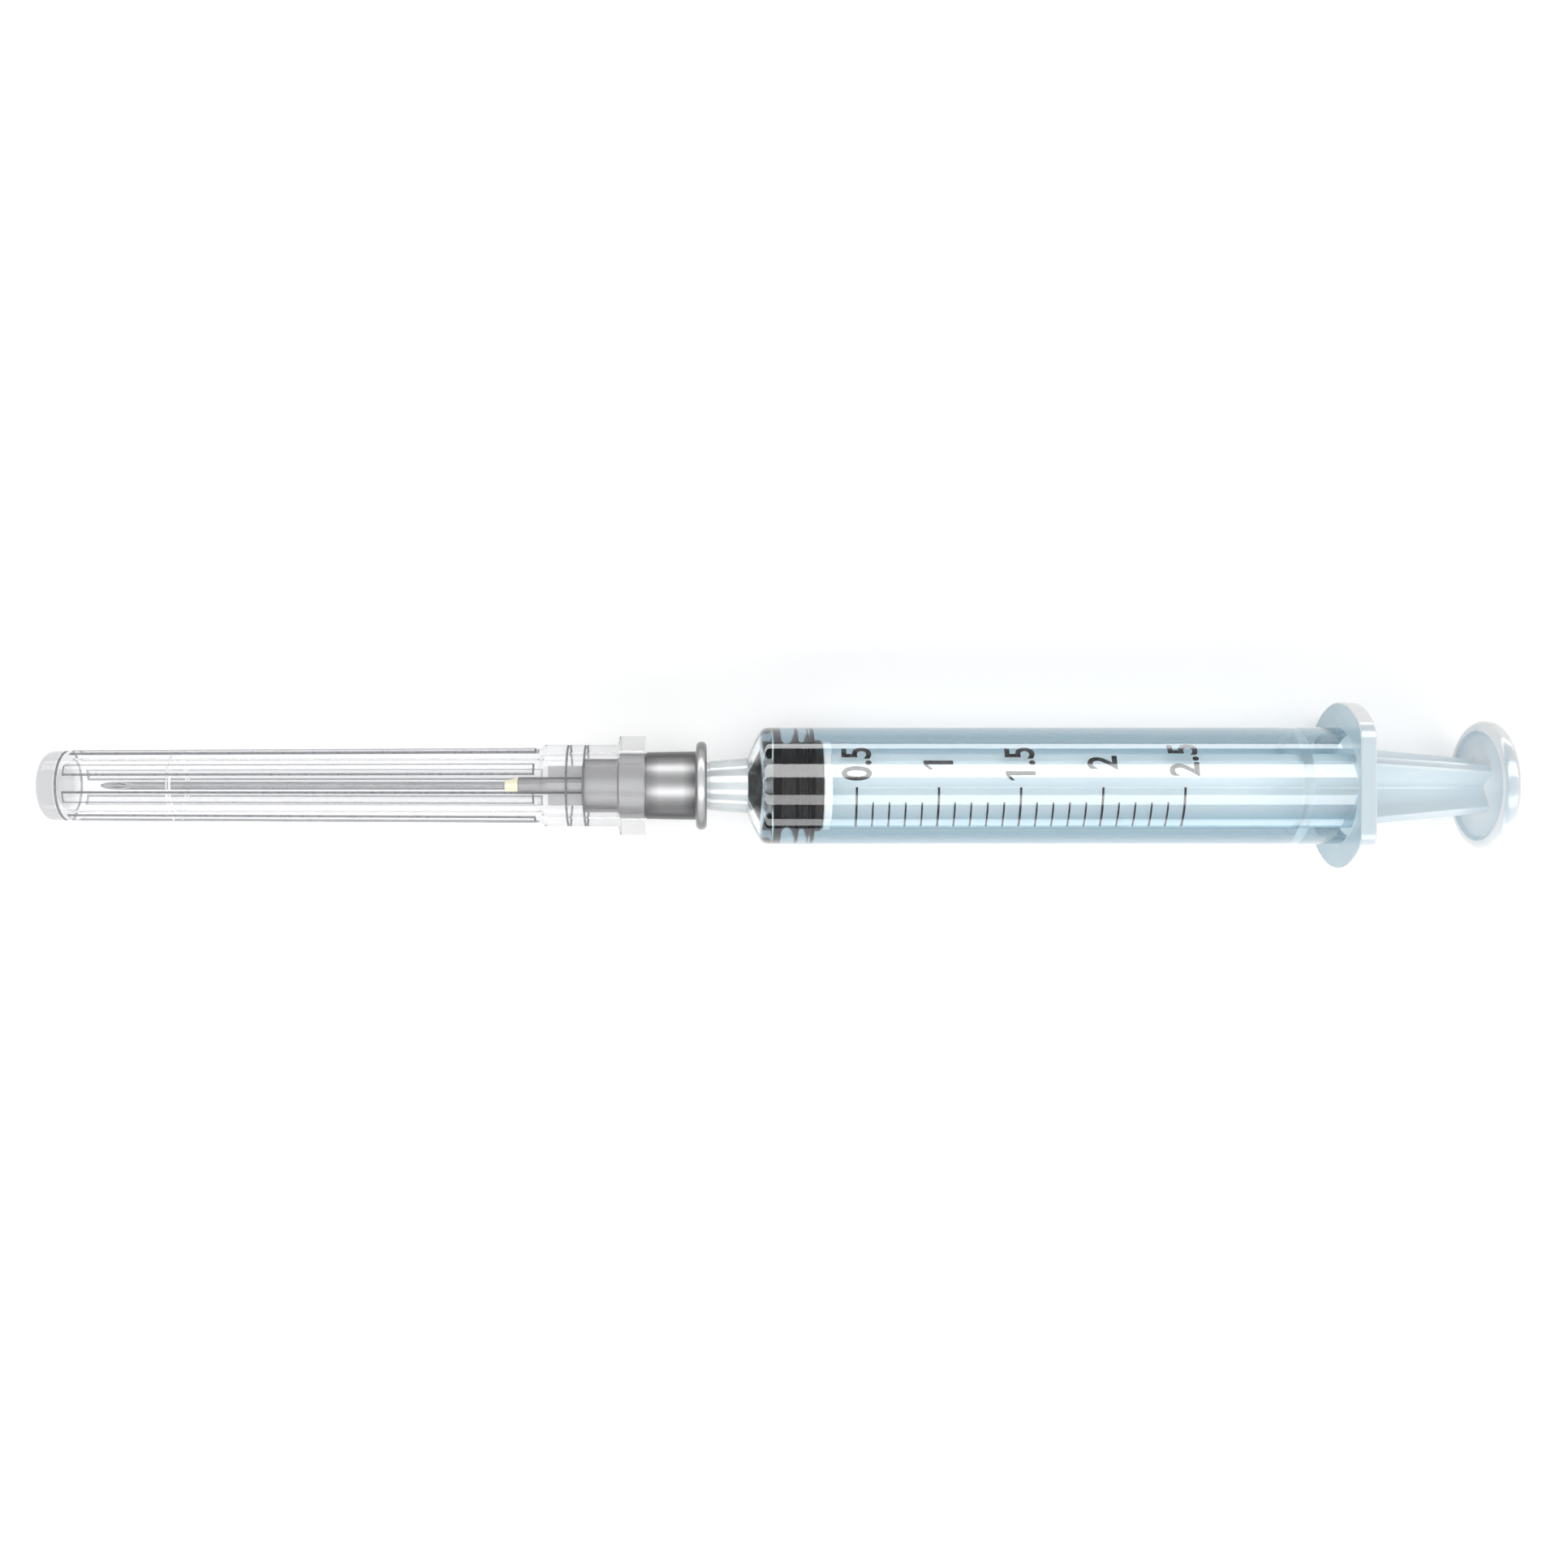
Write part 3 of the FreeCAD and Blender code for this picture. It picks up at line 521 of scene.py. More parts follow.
class Graph:
    """A geometry node tree with named inputs for numbers, counts and materials."""

    def __init__(self, name, floats, integers, materials):
        self.tree = bpy.data.node_groups.new(name, "GeometryNodeTree")
        kinds = (
            (floats, "NodeSocketFloat"),
            (integers, "NodeSocketInt"),
            (materials, "NodeSocketMaterial"),
        )
        self.sockets = {}
        for names, kind in kinds:
            for item in names:
                made = self.tree.interface.new_socket(item, in_out="INPUT", socket_type=kind)
                self.sockets[item] = made.identifier
        self.tree.interface.new_socket(
            "Geometry", in_out="OUTPUT", socket_type="NodeSocketGeometry"
        )
        self.given = self.tree.nodes.new("NodeGroupInput").outputs
        self.result = self.tree.nodes.new("NodeGroupOutput").inputs["Geometry"]

    def node(self, kind, inputs=(), **settings):
        """A node with its inputs set by name or number to a value or to another output."""
        made = self.tree.nodes.new(kind)
        for name, value in settings.items():
            setattr(made, name, value)
        for key, value in dict(inputs).items():
            if isinstance(value, bpy.types.NodeSocket):
                self.tree.links.new(value, made.inputs[key])
            else:
                made.inputs[key].default_value = value
        return made

    def maths(self, operation, *terms):
        return self.node("ShaderNodeMath", enumerate(terms), operation=operation).outputs[0]


def wrapped_plates():
    """A plate bent round the axis, repeated along it in groups and then round it."""
    sizes = ["Start", "Length", "Out", "Draft", "Height", "Sunk", "Middle", "Span", "Bevel"]
    places = ["Pitch", "Group Pitch", "Origin", "Axis Height"]
    counts = ["Copies", "Groups", "Round", "Bend Steps"]
    graph = Graph("wrapped_plates", sizes + places, counts, ["Face", "Side"])
    given = graph.given
    size = graph.node("ShaderNodeCombineXYZ", {"X": given["Length"], "Y": 1.0, "Z": 1.0})
    plate = graph.node(
        "GeometryNodeMeshCube",
        {
            "Size": size.outputs[0],
            "Vertices X": 2,
            "Vertices Y": given["Bend Steps"],
            "Vertices Z": 2,
        },
    )
    normal = graph.node("GeometryNodeInputNormal")
    facing = graph.node("ShaderNodeSeparateXYZ", {0: normal.outputs[0]})
    upright = graph.maths("ABSOLUTE", facing.outputs["Z"])
    flank = graph.maths("LESS_THAN", upright, 0.5)
    marked = graph.node(
        "GeometryNodeStoreNamedAttribute",
        {"Geometry": plate.outputs["Mesh"], "Name": "flank", "Value": flank},
        data_type="FLOAT",
        domain="FACE",
    )
    place = graph.node(
        "ShaderNodeSeparateXYZ", {0: graph.node("GeometryNodeInputPosition").outputs[0]}
    )
    top = graph.maths("ADD", place.outputs["Z"], 0.5)
    bevel = graph.maths("MULTIPLY", graph.maths("MULTIPLY", given["Bevel"], 2.0), top)
    length_left = graph.maths("SUBTRACT", given["Length"], bevel)
    shrink = graph.maths("DIVIDE", length_left, given["Length"])
    along = graph.maths("MULTIPLY", place.outputs["X"], shrink)
    span_left = graph.maths("SUBTRACT", given["Span"], graph.maths("DIVIDE", bevel, given["Out"]))
    turn = graph.maths("MULTIPLY_ADD", place.outputs["Y"], span_left, given["Middle"])
    base = graph.maths("SUBTRACT", given["Out"], given["Sunk"])
    rise = graph.maths("MULTIPLY", graph.maths("ADD", given["Height"], given["Sunk"]), top)
    drafted = graph.maths("MULTIPLY_ADD", along, given["Draft"], base)
    out = graph.maths("ADD", drafted, rise)
    wrapped = graph.node(
        "ShaderNodeCombineXYZ",
        {
            "X": along,
            "Y": graph.maths("MULTIPLY", graph.maths("SINE", turn), out),
            "Z": graph.maths("MULTIPLY", graph.maths("COSINE", turn), out),
        },
    )
    shaped = graph.node(
        "GeometryNodeSetPosition",
        {"Geometry": marked.outputs["Geometry"], "Position": wrapped.outputs[0]},
    ).outputs[0]
    for copies, pitch in (("Copies", "Pitch"), ("Groups", "Group Pitch")):
        offset = graph.node("ShaderNodeCombineXYZ", {"X": given[pitch]})
        line = graph.node(
            "GeometryNodeMeshLine", {"Count": given[copies], "Offset": offset.outputs[0]}
        )
        shaped = graph.node(
            "GeometryNodeInstanceOnPoints", {"Points": line.outputs[0], "Instance": shaped}
        ).outputs[0]
    index = graph.node("GeometryNodeInputIndex").outputs[0]
    part = graph.maths("DIVIDE", 2 * math.pi, given["Round"])
    about = graph.node("ShaderNodeCombineXYZ", {"X": graph.maths("MULTIPLY", index, part)})
    hub = graph.node("GeometryNodeMeshLine", {"Count": given["Round"], "Offset": (0, 0, 0)})
    shaped = graph.node(
        "GeometryNodeInstanceOnPoints",
        {"Points": hub.outputs[0], "Instance": shaped, "Rotation": about.outputs[0]},
    ).outputs[0]
    first = graph.maths("ADD", given["Origin"], given["Start"])
    shift = graph.node("ShaderNodeCombineXYZ", {"X": first, "Z": given["Axis Height"]})
    moved = graph.node(
        "GeometryNodeTransform", {"Geometry": shaped, "Translation": shift.outputs[0]}
    ).outputs[0]
    real = graph.node("GeometryNodeRealizeInstances", {"Geometry": moved}).outputs[0]
    faces = graph.node(
        "GeometryNodeSetMaterial", {"Geometry": real, "Material": given["Face"]}
    ).outputs[0]
    chosen = graph.node(
        "GeometryNodeInputNamedAttribute", {"Name": "flank"}, data_type="FLOAT"
    ).outputs["Attribute"]
    sides = graph.node(
        "GeometryNodeSetMaterial",
        {"Geometry": faces, "Selection": chosen, "Material": given["Side"]},
    ).outputs[0]
    graph.tree.links.new(sides, graph.result)
    return graph


plates = wrapped_plates()


def plate_mesh(name, **sizes):
    """The plain mesh that the tree makes with these sizes, lengths in mm and angles in degrees."""
    holder = new_object(name + "_tree", bpy.data.meshes.new(name + "_tree"))
    modifier = holder.modifiers.new("plates", "NODES")
    modifier.node_group = plates.tree
    settings = {
        "Draft": 0.0,
        "Sunk": 0.0,
        "Bevel": 0.0,
        "Pitch": 0.0,
        "Group_Pitch": 0.0,
        "Copies": 1,
        "Groups": 1,
        "Round": 1,
        "Bend_Steps": 12,
        "Origin": SHOULDER_X / MM,
        "Axis_Height": AXIS_Z / MM,
        **sizes,
    }
    for key, value in settings.items():
        socket = plates.sockets[key.replace("_", " ")]
        if key in ("Middle", "Span"):
            value = math.radians(value)
        elif isinstance(value, float) and key != "Draft":
            value = value * MM
        modifier[socket] = value
    mesh = plain_mesh(holder)
    mesh.name = name
    return mesh


def joined(name, *parts):
    """One piece of several meshes, which holds each of their materials once."""
    shape = bmesh.new()
    materials = []
    for mesh in parts:
        known = len(shape.faces)
        shape.from_mesh(mesh)
        shape.faces.ensure_lookup_table()
        places = []
        for material in mesh.materials:
            if material not in materials:
                materials.append(material)
            places.append(materials.index(material))
        for face in shape.faces[known:]:
            face.material_index = places[face.material_index]
    return smooth_piece(name, mesh_of(name, shape, materials))


# Barrel: nozzle, shoulder, tube and finger flange in one moulding

BARREL_OUT = 5.3
BORE_OUT = 4.71
FLANGE_FRONT = 53.3
FLANGE_BACK = 54.75
FLANGE_OUT = 7.55
FLANGE_HALF_WIDTH = 5.75
FLANGE_CORNER = 2.2
FLANGE_ROUNDING = 0.22
SHOULDER_LENGTH = 1.25
SHOULDER_ROUNDING = 0.9
NOZZLE_TIP_OUT = 1.98
NOZZLE_ROOT_LENGTH = 3.45
NOZZLE_STEP_OUT = 2.1615
NOZZLE_ROOT_OUT = 2.2415
NOZZLE_FLARE_OUT = 2.5415
NOZZLE_BORE_OUT = 1.0
INNER_CONE_START = 0.25
INNER_CONE_END = 2.2
RING_ALONG = 49.2
RING_HALF_WIDTH = 0.45
RING_HEIGHT = 0.15
LEAD_IN = 0.28


def flange_outline(inset, angle):
    """How far out the flange's outline is at an angle, once drawn in by an inset."""
    reach = FLANGE_OUT - inset
    half_width = FLANGE_HALF_WIDTH - inset
    rounding = FLANGE_CORNER - inset
    turn = math.radians(angle)
    up, side = abs(math.cos(turn)), abs(math.sin(turn))
    centre_up = half_width - rounding
    centre_side = math.sqrt((reach - rounding) ** 2 - centre_up**2)
    if up * centre_side <= side * centre_up:
        return reach
    if side * half_width < centre_side * up:
        return half_width / up
    toward = up * centre_up + side * centre_side
    spare = toward**2 - centre_up**2 - centre_side**2 + rounding**2
    return toward + math.sqrt(max(spare, 0))


def barrel_out_at(out, angle):
    """The rings near the flange's rim follow its outline, and all others stay round."""
    rim = FLANGE_OUT - FLANGE_ROUNDING
    if out < rim - SUPPORT * 2:
        return out
    return flange_outline(FLANGE_OUT - out, angle)


def barrel_slot_at(middle):
    """Slot 1 is the thick flange, slot 2 the bore, slot 3 the nozzle and slot 4 the flange's rim
    and the retaining ring, which are painted pale as a painted highlight."""
    if middle.x > FLANGE_FRONT - SUPPORT and middle.y > BARREL_OUT - SUPPORT:
        return 4 if middle.y > FLANGE_OUT - FLANGE_ROUNDING / 2 else 1
    if middle.x < 0:
        return 3
    if abs(middle.x - RING_ALONG) < RING_HALF_WIDTH and middle.y < BORE_OUT:
        return 4
    inside = INNER_CONE_START < middle.x < FLANGE_BACK - LEAD_IN
    return 2 if inside and middle.y < BORE_OUT + SUPPORT else 0


def make_barrel():
    corners = [
        (-NOZZLE_LENGTH, NOZZLE_BORE_OUT, 0.05),
        (-NOZZLE_LENGTH, NOZZLE_TIP_OUT, 0.15),
        (-NOZZLE_ROOT_LENGTH, NOZZLE_STEP_OUT, 0),
        (-NOZZLE_ROOT_LENGTH, NOZZLE_ROOT_OUT, 0.03),
        (0, NOZZLE_FLARE_OUT, 0.15),
        (SHOULDER_LENGTH, BARREL_OUT, SHOULDER_ROUNDING),
        (FLANGE_FRONT, BARREL_OUT, 0),
        (FLANGE_FRONT, FLANGE_OUT, FLANGE_ROUNDING),
        (FLANGE_BACK, FLANGE_OUT, FLANGE_ROUNDING),
        (FLANGE_BACK, BORE_OUT + LEAD_IN, 0.05),
        (FLANGE_BACK - LEAD_IN, BORE_OUT, 0.1),
        (RING_ALONG + RING_HALF_WIDTH, BORE_OUT, 0.3),
        (RING_ALONG, BORE_OUT - RING_HEIGHT, 0.4),
        (RING_ALONG - RING_HALF_WIDTH, BORE_OUT, 0.3),
        (INNER_CONE_END, BORE_OUT, 0.4),
        (INNER_CONE_START, NOZZLE_BORE_OUT, 0.3),
    ]
    shape = bmesh.new()
    add_turned(shape, outline(corners, closed=True), True, barrel_out_at, barrel_slot_at)
    finishes = (barrel_clear, barrel_thick, barrel_bore, nozzle_clear, rim_painted_highlight)
    piece = closed_piece("syringe_barrel", shape, *finishes)
    dress(piece, "barrel", "barrel", "barrel")


# Scale: marks and numbers printed on the barrel

SCALE_ZERO = 2.259
HALF_ML = 7.175
MARKS_IN_HALF_ML = 5
MARK_END = -42.5
LONG_MARK_START = -1.5
SHORT_MARK_START = -16.0
LONG_MARK_WIDTH = 0.2
SHORT_MARK_WIDTH = 0.16
INK_THICKNESS = 0.03
DIGIT_HEIGHT = 2.5
DIGIT_CONDENSED = 0.75
DIGIT_WEIGHT = 0.06
FLAG_REACH = 0.6
FLAG_DROP = 0.45
FLAG_WIDTH = 0.34
NUMBER_ANGLES = {"0.5": 21.8, "1": 20.0, "1.5": 22.0, "2": 22.6, "2.5": 26.1}
CAPITAL_SHARE = 0.69
BEND_STEP = 0.12


def mark_row(name, first, start, width, copies, groups):
    """Marks a tenth of a millilitre apart, in groups that start half a millilitre apart."""
    return plate_mesh(
        name,
        Start=first,
        Length=width,
        Out=BARREL_OUT,
        Height=INK_THICKNESS,
        Middle=(start + MARK_END) / 2,
        Span=start - MARK_END,
        Copies=copies,
        Pitch=HALF_ML / MARKS_IN_HALF_ML,
        Groups=groups,
        Group_Pitch=HALF_ML,
        Bend_Steps=24,
        Face=print_ink.material,
        Side=print_ink.material,
    )


def make_marks():
    """A long mark at each number, and short ones between them."""
    numbers = len(NUMBER_ANGLES)
    long_first = SCALE_ZERO + HALF_ML
    long_marks = mark_row("long_marks", long_first, LONG_MARK_START, LONG_MARK_WIDTH, 1, numbers)
    short_marks = mark_row(
        "short_marks",
        SCALE_ZERO + HALF_ML * (MARKS_IN_HALF_ML + 1) / MARKS_IN_HALF_ML,
        SHORT_MARK_START,
        SHORT_MARK_WIDTH,
        MARKS_IN_HALF_ML - 1,
        numbers - 1,
    )
    piece = joined("scale_marks", long_marks, short_marks)
    dress(piece, "barrel", "ink", "graduation_marks")


def number_mesh(label):
    """A number as a flat plate of ink in metres, read along its own X."""
    curve = bpy.data.curves.new("number", "FONT")
    curve.body = label
    curve.size = DIGIT_HEIGHT / CAPITAL_SHARE * MM
    curve.offset = DIGIT_WEIGHT * MM
    curve.extrude = INK_THICKNESS / 2 * MM
    curve.resolution_u = 6
    return plain_mesh(new_object("number", curve))


def add_flag(shape):
    """The short stroke that leads into the top of a figure one."""
    left = min(vertex.co.x for vertex in shape.verts)
    top = max(vertex.co.y for vertex in shape.verts)
    half = INK_THICKNESS / 2 * MM
    tip = left - FLAG_REACH * MM
    drop = top - FLAG_DROP * MM
    width = FLAG_WIDTH * MM
    corners = [(left, top), (tip, drop), (tip, drop - width), (left, top - width)]
    under = [shape.verts.new((x, y, -half)) for x, y in corners]
    over = [shape.verts.new((x, y, half)) for x, y in corners]
    shape.faces.new(under)
    shape.faces.new(over)
    for step in range(4):
        beside = (step + 1) % 4
        shape.faces.new([under[step], under[beside], over[beside], over[step]])


def make_number(label, along):
    """Bends a number round the barrel, read upwards with its tops towards the needle."""
    shape = bmesh.new()
    shape.from_mesh(number_mesh(label))
    if label.startswith("1"):
        add_flag(shape)
    bmesh.ops.remove_doubles(shape, verts=shape.verts, dist=WELD_DISTANCE)
    xs = [vertex.co.x for vertex in shape.verts]
    ys = [vertex.co.y for vertex in shape.verts]
    middle_x, middle_y = (min(xs) + max(xs)) / 2, (min(ys) + max(ys)) / 2
    cut = min(xs) + BEND_STEP * MM
    while cut < max(xs):
        geometry = shape.verts[:] + shape.edges[:] + shape.faces[:]
        bmesh.ops.bisect_plane(shape, geom=geometry, plane_co=(cut, 0, 0), plane_no=(1, 0, 0))
        cut += BEND_STEP * MM
    for vertex in shape.verts:
        arc = (vertex.co.x - middle_x) * DIGIT_CONDENSED / (BARREL_OUT * MM)
        angle = NUMBER_ANGLES[label] + math.degrees(arc)
        back = (middle_y - vertex.co.y) / MM
        out = BARREL_OUT + INK_THICKNESS / 2 + vertex.co.z / MM
        vertex.co = spot(along + back, out, angle)
    name = "number_" + label.replace(".", "_")
    piece = closed_piece(name, shape, print_ink)
    dress(piece, "barrel", "ink")


def make_numbers():
    for count, label in enumerate(NUMBER_ANGLES, start=1):
        make_number(label, SCALE_ZERO + count * HALF_ML)


# Stopper: one rubber moulding whose ribs are squeezed against the bore's wall

RIB_SQUEEZE = 0.03
RIB_OUT = BORE_OUT + RIB_SQUEEZE
LAND_OUT = 4.13
CONE_EDGE_OUT = 4.08
STOPPER_NOSE = 0.443
STOPPER_NOSE_OUT = 1.1
CONE_END = 2.009
FRONT_RIB = 2.259
WIDE_GROOVE = 2.919
MIDDLE_RIB = 4.139
NARROW_GROOVE = 4.459
WIPER_RIB = 5.259
WIPER_SLOT = 5.379
BACK_RIB = 5.539
BACK_LAND = 5.899
STOPPER_BACK = 6.559
WIDE_FLOOR_OUT = 3.77
NARROW_FLOOR_OUT = 3.88
RIB_ROUNDING = 0.05
GROOVE_DEPTHS = (0.55, 0.88, 1.0)
SOCKET_CLEARANCE = 0.06


def groove(start, end, floor_out):
    """The corners of a groove whose floor is one arc from rib to rib."""
    middle = (start + end) / 2
    reach = (end - start) / 2
    depth = RIB_OUT - floor_out
    front = [(-math.sqrt(1 - share**2), share) for share in GROOVE_DEPTHS]
    back = [(-side, share) for side, share in reversed(front[:-1])]
    floor = [(middle + side * reach, RIB_OUT - depth * share, 0) for side, share in front + back]
    return [(start, RIB_OUT, RIB_ROUNDING), *floor, (end, RIB_OUT, RIB_ROUNDING)]


def make_stopper():
    corners = [
        (STOPPER_NOSE, 0, 0),
        (STOPPER_NOSE, STOPPER_NOSE_OUT, 0.3),
        (CONE_END, CONE_EDGE_OUT, 0.1),
        (FRONT_RIB, CONE_EDGE_OUT, 0.05),
        (FRONT_RIB, RIB_OUT, RIB_ROUNDING),
        *groove(WIDE_GROOVE, MIDDLE_RIB, WIDE_FLOOR_OUT),
        *groove(NARROW_GROOVE, WIPER_RIB, NARROW_FLOOR_OUT),
        (WIPER_SLOT, RIB_OUT, 0.03),
        (WIPER_SLOT, LAND_OUT, 0),
        (BACK_RIB, LAND_OUT, 0),
        (BACK_RIB, RIB_OUT, 0.03),
        (BACK_LAND, RIB_OUT, RIB_ROUNDING),
        (BACK_LAND, LAND_OUT, 0.05),
        (STOPPER_BACK, LAND_OUT, 0.1),
        (STOPPER_BACK, NECK_OUT + SOCKET_CLEARANCE, 0.05),
        (NECK_FRONT + SOCKET_CLEARANCE, NECK_OUT + SOCKET_CLEARANCE, 0.05),
        (NECK_FRONT + SOCKET_CLEARANCE, HEAD_OUT + SOCKET_CLEARANCE, 0.05),
        (HEAD_SHOULDER - SOCKET_CLEARANCE, HEAD_OUT + SOCKET_CLEARANCE, 0.1),
        (HEAD_FRONT - SOCKET_CLEARANCE, HEAD_NOSE_OUT + SOCKET_CLEARANCE, 0.1),
        (HEAD_FRONT - SOCKET_CLEARANCE, 0, 0),
    ]
    shape = bmesh.new()
    add_turned(shape, outline(corners), False)
    piece = closed_piece("rubber_stopper", shape, rubber)
    dress(piece, "stopper", "stopper", "stopper")


# Plunger rod: head, support disc, crossed fins and thumb rest in one moulding

HEAD_FRONT = 2.83
HEAD_SHOULDER = 3.43
HEAD_OUT = 2.4
HEAD_NOSE_OUT = 1.4
NECK_FRONT = 5.23
NECK_OUT = 1.6
DISC_FRONT = 6.679
DISC_BACK = 7.459
DISC_OUT = 3.98
FIN_HALF_WIDTH = 4.2
FIN_THICKNESS = 1.0
FIN_ROUNDING = 0.2
FIN_TAPER_START = 53.4
FIN_END_HALF_WIDTH = 2.73
THUMB_FRONT = 66.0
THUMB_BACK = 67.44
THUMB_OUT = 5.85
THUMB_EDGE_FLAT = 0.2
DISH_OUT = 4.95
DISH_DEPTH = 0.28
GRIP_RINGS = (1.5, 3.0)
GRIP_RING_DEPTH = 0.15
GRIP_RING_HALF_WIDTH = 0.2
ROD_TURN = 35.0


def cross_section(along, half_width):
    """The rod's crossed fins cut across, with rounded edges and roots."""
    half = FIN_THICKNESS / 2
    edge = corner_arc((half_width, 0), (half_width, half), (0, half), FIN_ROUNDING)
    root = corner_arc((half_width, half), (half, half), (half, half_width), FIN_ROUNDING)
    far = corner_arc((half, 0), (half, half_width), (0, half_width), FIN_ROUNDING)
    quarter = edge + root + far
    ring = []
    for turn in range(4):
        for point in quarter:
            angle = math.degrees(math.atan2(point.y, point.x)) + 90 * turn + ROD_TURN
            ring.append(spot(along, point.length, angle))
    return ring


def rod_slot_at(middle):
    """Slot 1 is the thumb rest's rim, slot 2 its dish and slot 3 the support disc's edge. The rim
    and the disc's edge are painted pale as a painted highlight, and the dish is painted light in
    its middle and shaded towards its rim.
    """
    if middle.x > FIN_TAPER_START and middle.y > DISH_OUT + SUPPORT:
        return 1
    if FIN_TAPER_START < middle.x < THUMB_FRONT + DISH_DEPTH + SUPPORT:
        return 2
    on_disc = DISC_FRONT < middle.x < DISC_BACK and middle.y > DISC_OUT - SUPPORT * 3
    return 3 if on_disc else 0


def make_rod():
    shape = bmesh.new()
    head = [
        (HEAD_FRONT, 0, 0),
        (HEAD_FRONT, HEAD_NOSE_OUT, 0.2),
        (HEAD_SHOULDER, HEAD_OUT, 0.2),
        (NECK_FRONT, HEAD_OUT, 0.15),
        (NECK_FRONT, NECK_OUT, 0.1),
        (DISC_FRONT, NECK_OUT, 0.1),
        (DISC_FRONT, DISC_OUT, 0.15),
        (DISC_BACK, DISC_OUT, 0.15),
        (DISC_BACK, 0, 0),
    ]
    add_turned(shape, outline(head), False, slot_at=rod_slot_at)
    add_loft(
        shape,
        [
            cross_section(DISC_BACK - OVERLAP, FIN_HALF_WIDTH),
            cross_section(FIN_TAPER_START - SUPPORT, FIN_HALF_WIDTH),
            cross_section(FIN_TAPER_START + SUPPORT, FIN_HALF_WIDTH - SUPPORT / 10),
            cross_section(THUMB_FRONT + DISH_DEPTH + OVERLAP, FIN_END_HALF_WIDTH),
        ],
    )
    rounding = (THUMB_BACK - THUMB_FRONT - THUMB_EDGE_FLAT) / 2
    rest = [
        (THUMB_FRONT + DISH_DEPTH, 0, 0),
        (THUMB_FRONT + DISH_DEPTH, DISH_OUT - DISH_DEPTH, 0.4),
        (THUMB_FRONT, DISH_OUT, 0.2),
        (THUMB_FRONT, THUMB_OUT, rounding),
        (THUMB_BACK, THUMB_OUT, rounding),
    ]
    for out in reversed(GRIP_RINGS):
        rest += [
            (THUMB_BACK, out + GRIP_RING_HALF_WIDTH, 0.05),
            (THUMB_BACK - GRIP_RING_DEPTH, out, 0.05),
            (THUMB_BACK, out - GRIP_RING_HALF_WIDTH, 0.05),
        ]
    rest.append((THUMB_BACK, 0, 0))
    add_turned(shape, outline(rest), False, slot_at=rod_slot_at)
    piece = closed_piece("rod", shape, rod_plastic, rim_painted_highlight, dish, disc_painted_light)
    dress(piece, "plunger_rod", "plunger_rod", "plunger_rod")


# Needle: hub, steel tube and the resin that holds it

HUB_MOUTH = -3.68
BEAD_OUT = 4.0
BEAD_ROUNDING = 0.46
HUB_CONE_OUT = 3.1
HUB_STOP_OUT = 3.03
HUB_SEAT_OUT = 2.92
HUB_SEAT_END = -11.55
HUB_WAIST_OUT = 2.45
HUB_WAIST_END = -14.85
HUB_NECK_OUT = 0.78
HUB_TIP = -20.75
HUB_FIN_END = -18.05
HUB_FIN_OUT = 1.8
HUB_FIN_THICKNESS = 0.5
SOCKET_MOUTH_OUT = 2.1846
SOCKET_END = -11.28
SOCKET_END_OUT = 1.9566
SOCKET_FLOOR = -12.48
NEEDLE_HOLE_OUT = 0.38
NEEDLE_OUT = 0.36
NEEDLE_BORE_OUT = 0.205
NEEDLE_BACK = -12.15
NEEDLE_BEVEL = 12.0
NEEDLE_AROUND = 48
RESIN_TIP = -21.95
RESIN_TIP_WALL = 0.06
RESIN_SETBACK = 0.04


def hub_slot_at(middle):
    """Slot 1 is the bead round the hub's mouth, painted light along its crest and dark at its
    edges.
    """
    return 1 if middle.x > BEAD_FRONT - SUPPORT and middle.y > HUB_CONE_OUT else 0


def make_hub():
    shape = bmesh.new()
    corners = [
        (HUB_TIP, NEEDLE_HOLE_OUT, 0),
        (HUB_TIP, HUB_NECK_OUT, 0.1),
        (HUB_WAIST_END, HUB_NECK_OUT, 0.1),
        (HUB_WAIST_END, HUB_WAIST_OUT, 0.15),
        (HUB_SEAT_END, HUB_WAIST_OUT, 0.1),
        (HUB_SEAT_END, HUB_SEAT_OUT, 0.1),
        (HUB_STOP, HUB_SEAT_OUT, 0),
        (HUB_STOP, HUB_STOP_OUT, 0.04),
        (BEAD_FRONT, HUB_CONE_OUT, 0.1),
        (BEAD_FRONT, BEAD_OUT, BEAD_ROUNDING),
        (HUB_MOUTH, BEAD_OUT, BEAD_ROUNDING),
        (HUB_MOUTH, SOCKET_MOUTH_OUT, 0.1),
        (SOCKET_END, SOCKET_END_OUT, 0.1),
        (SOCKET_FLOOR, NEEDLE_HOLE_OUT, 0),
    ]
    add_turned(shape, outline(corners, closed=True), True, slot_at=hub_slot_at)
    half = HUB_FIN_THICKNESS / 2
    root = HUB_NECK_OUT / 2
    section = [(root, -half), (HUB_FIN_OUT, -half), (HUB_FIN_OUT, half), (root, half)]
    for turn in range(4):
        rings = []
        for along in (HUB_WAIST_END + OVERLAP, HUB_FIN_END):
            ring = []
            for side, across in section:
                angle = math.degrees(math.atan2(across, side)) + 90 * turn
                ring.append(spot(along, math.hypot(side, across), angle))
            rings.append(ring)
        add_loft(shape, rings)
    piece = closed_piece("hub", shape, hub_plastic, hub_bead_painted_light)
    dress(piece, "needle", "needle_hub", "needle_hub")
    return piece


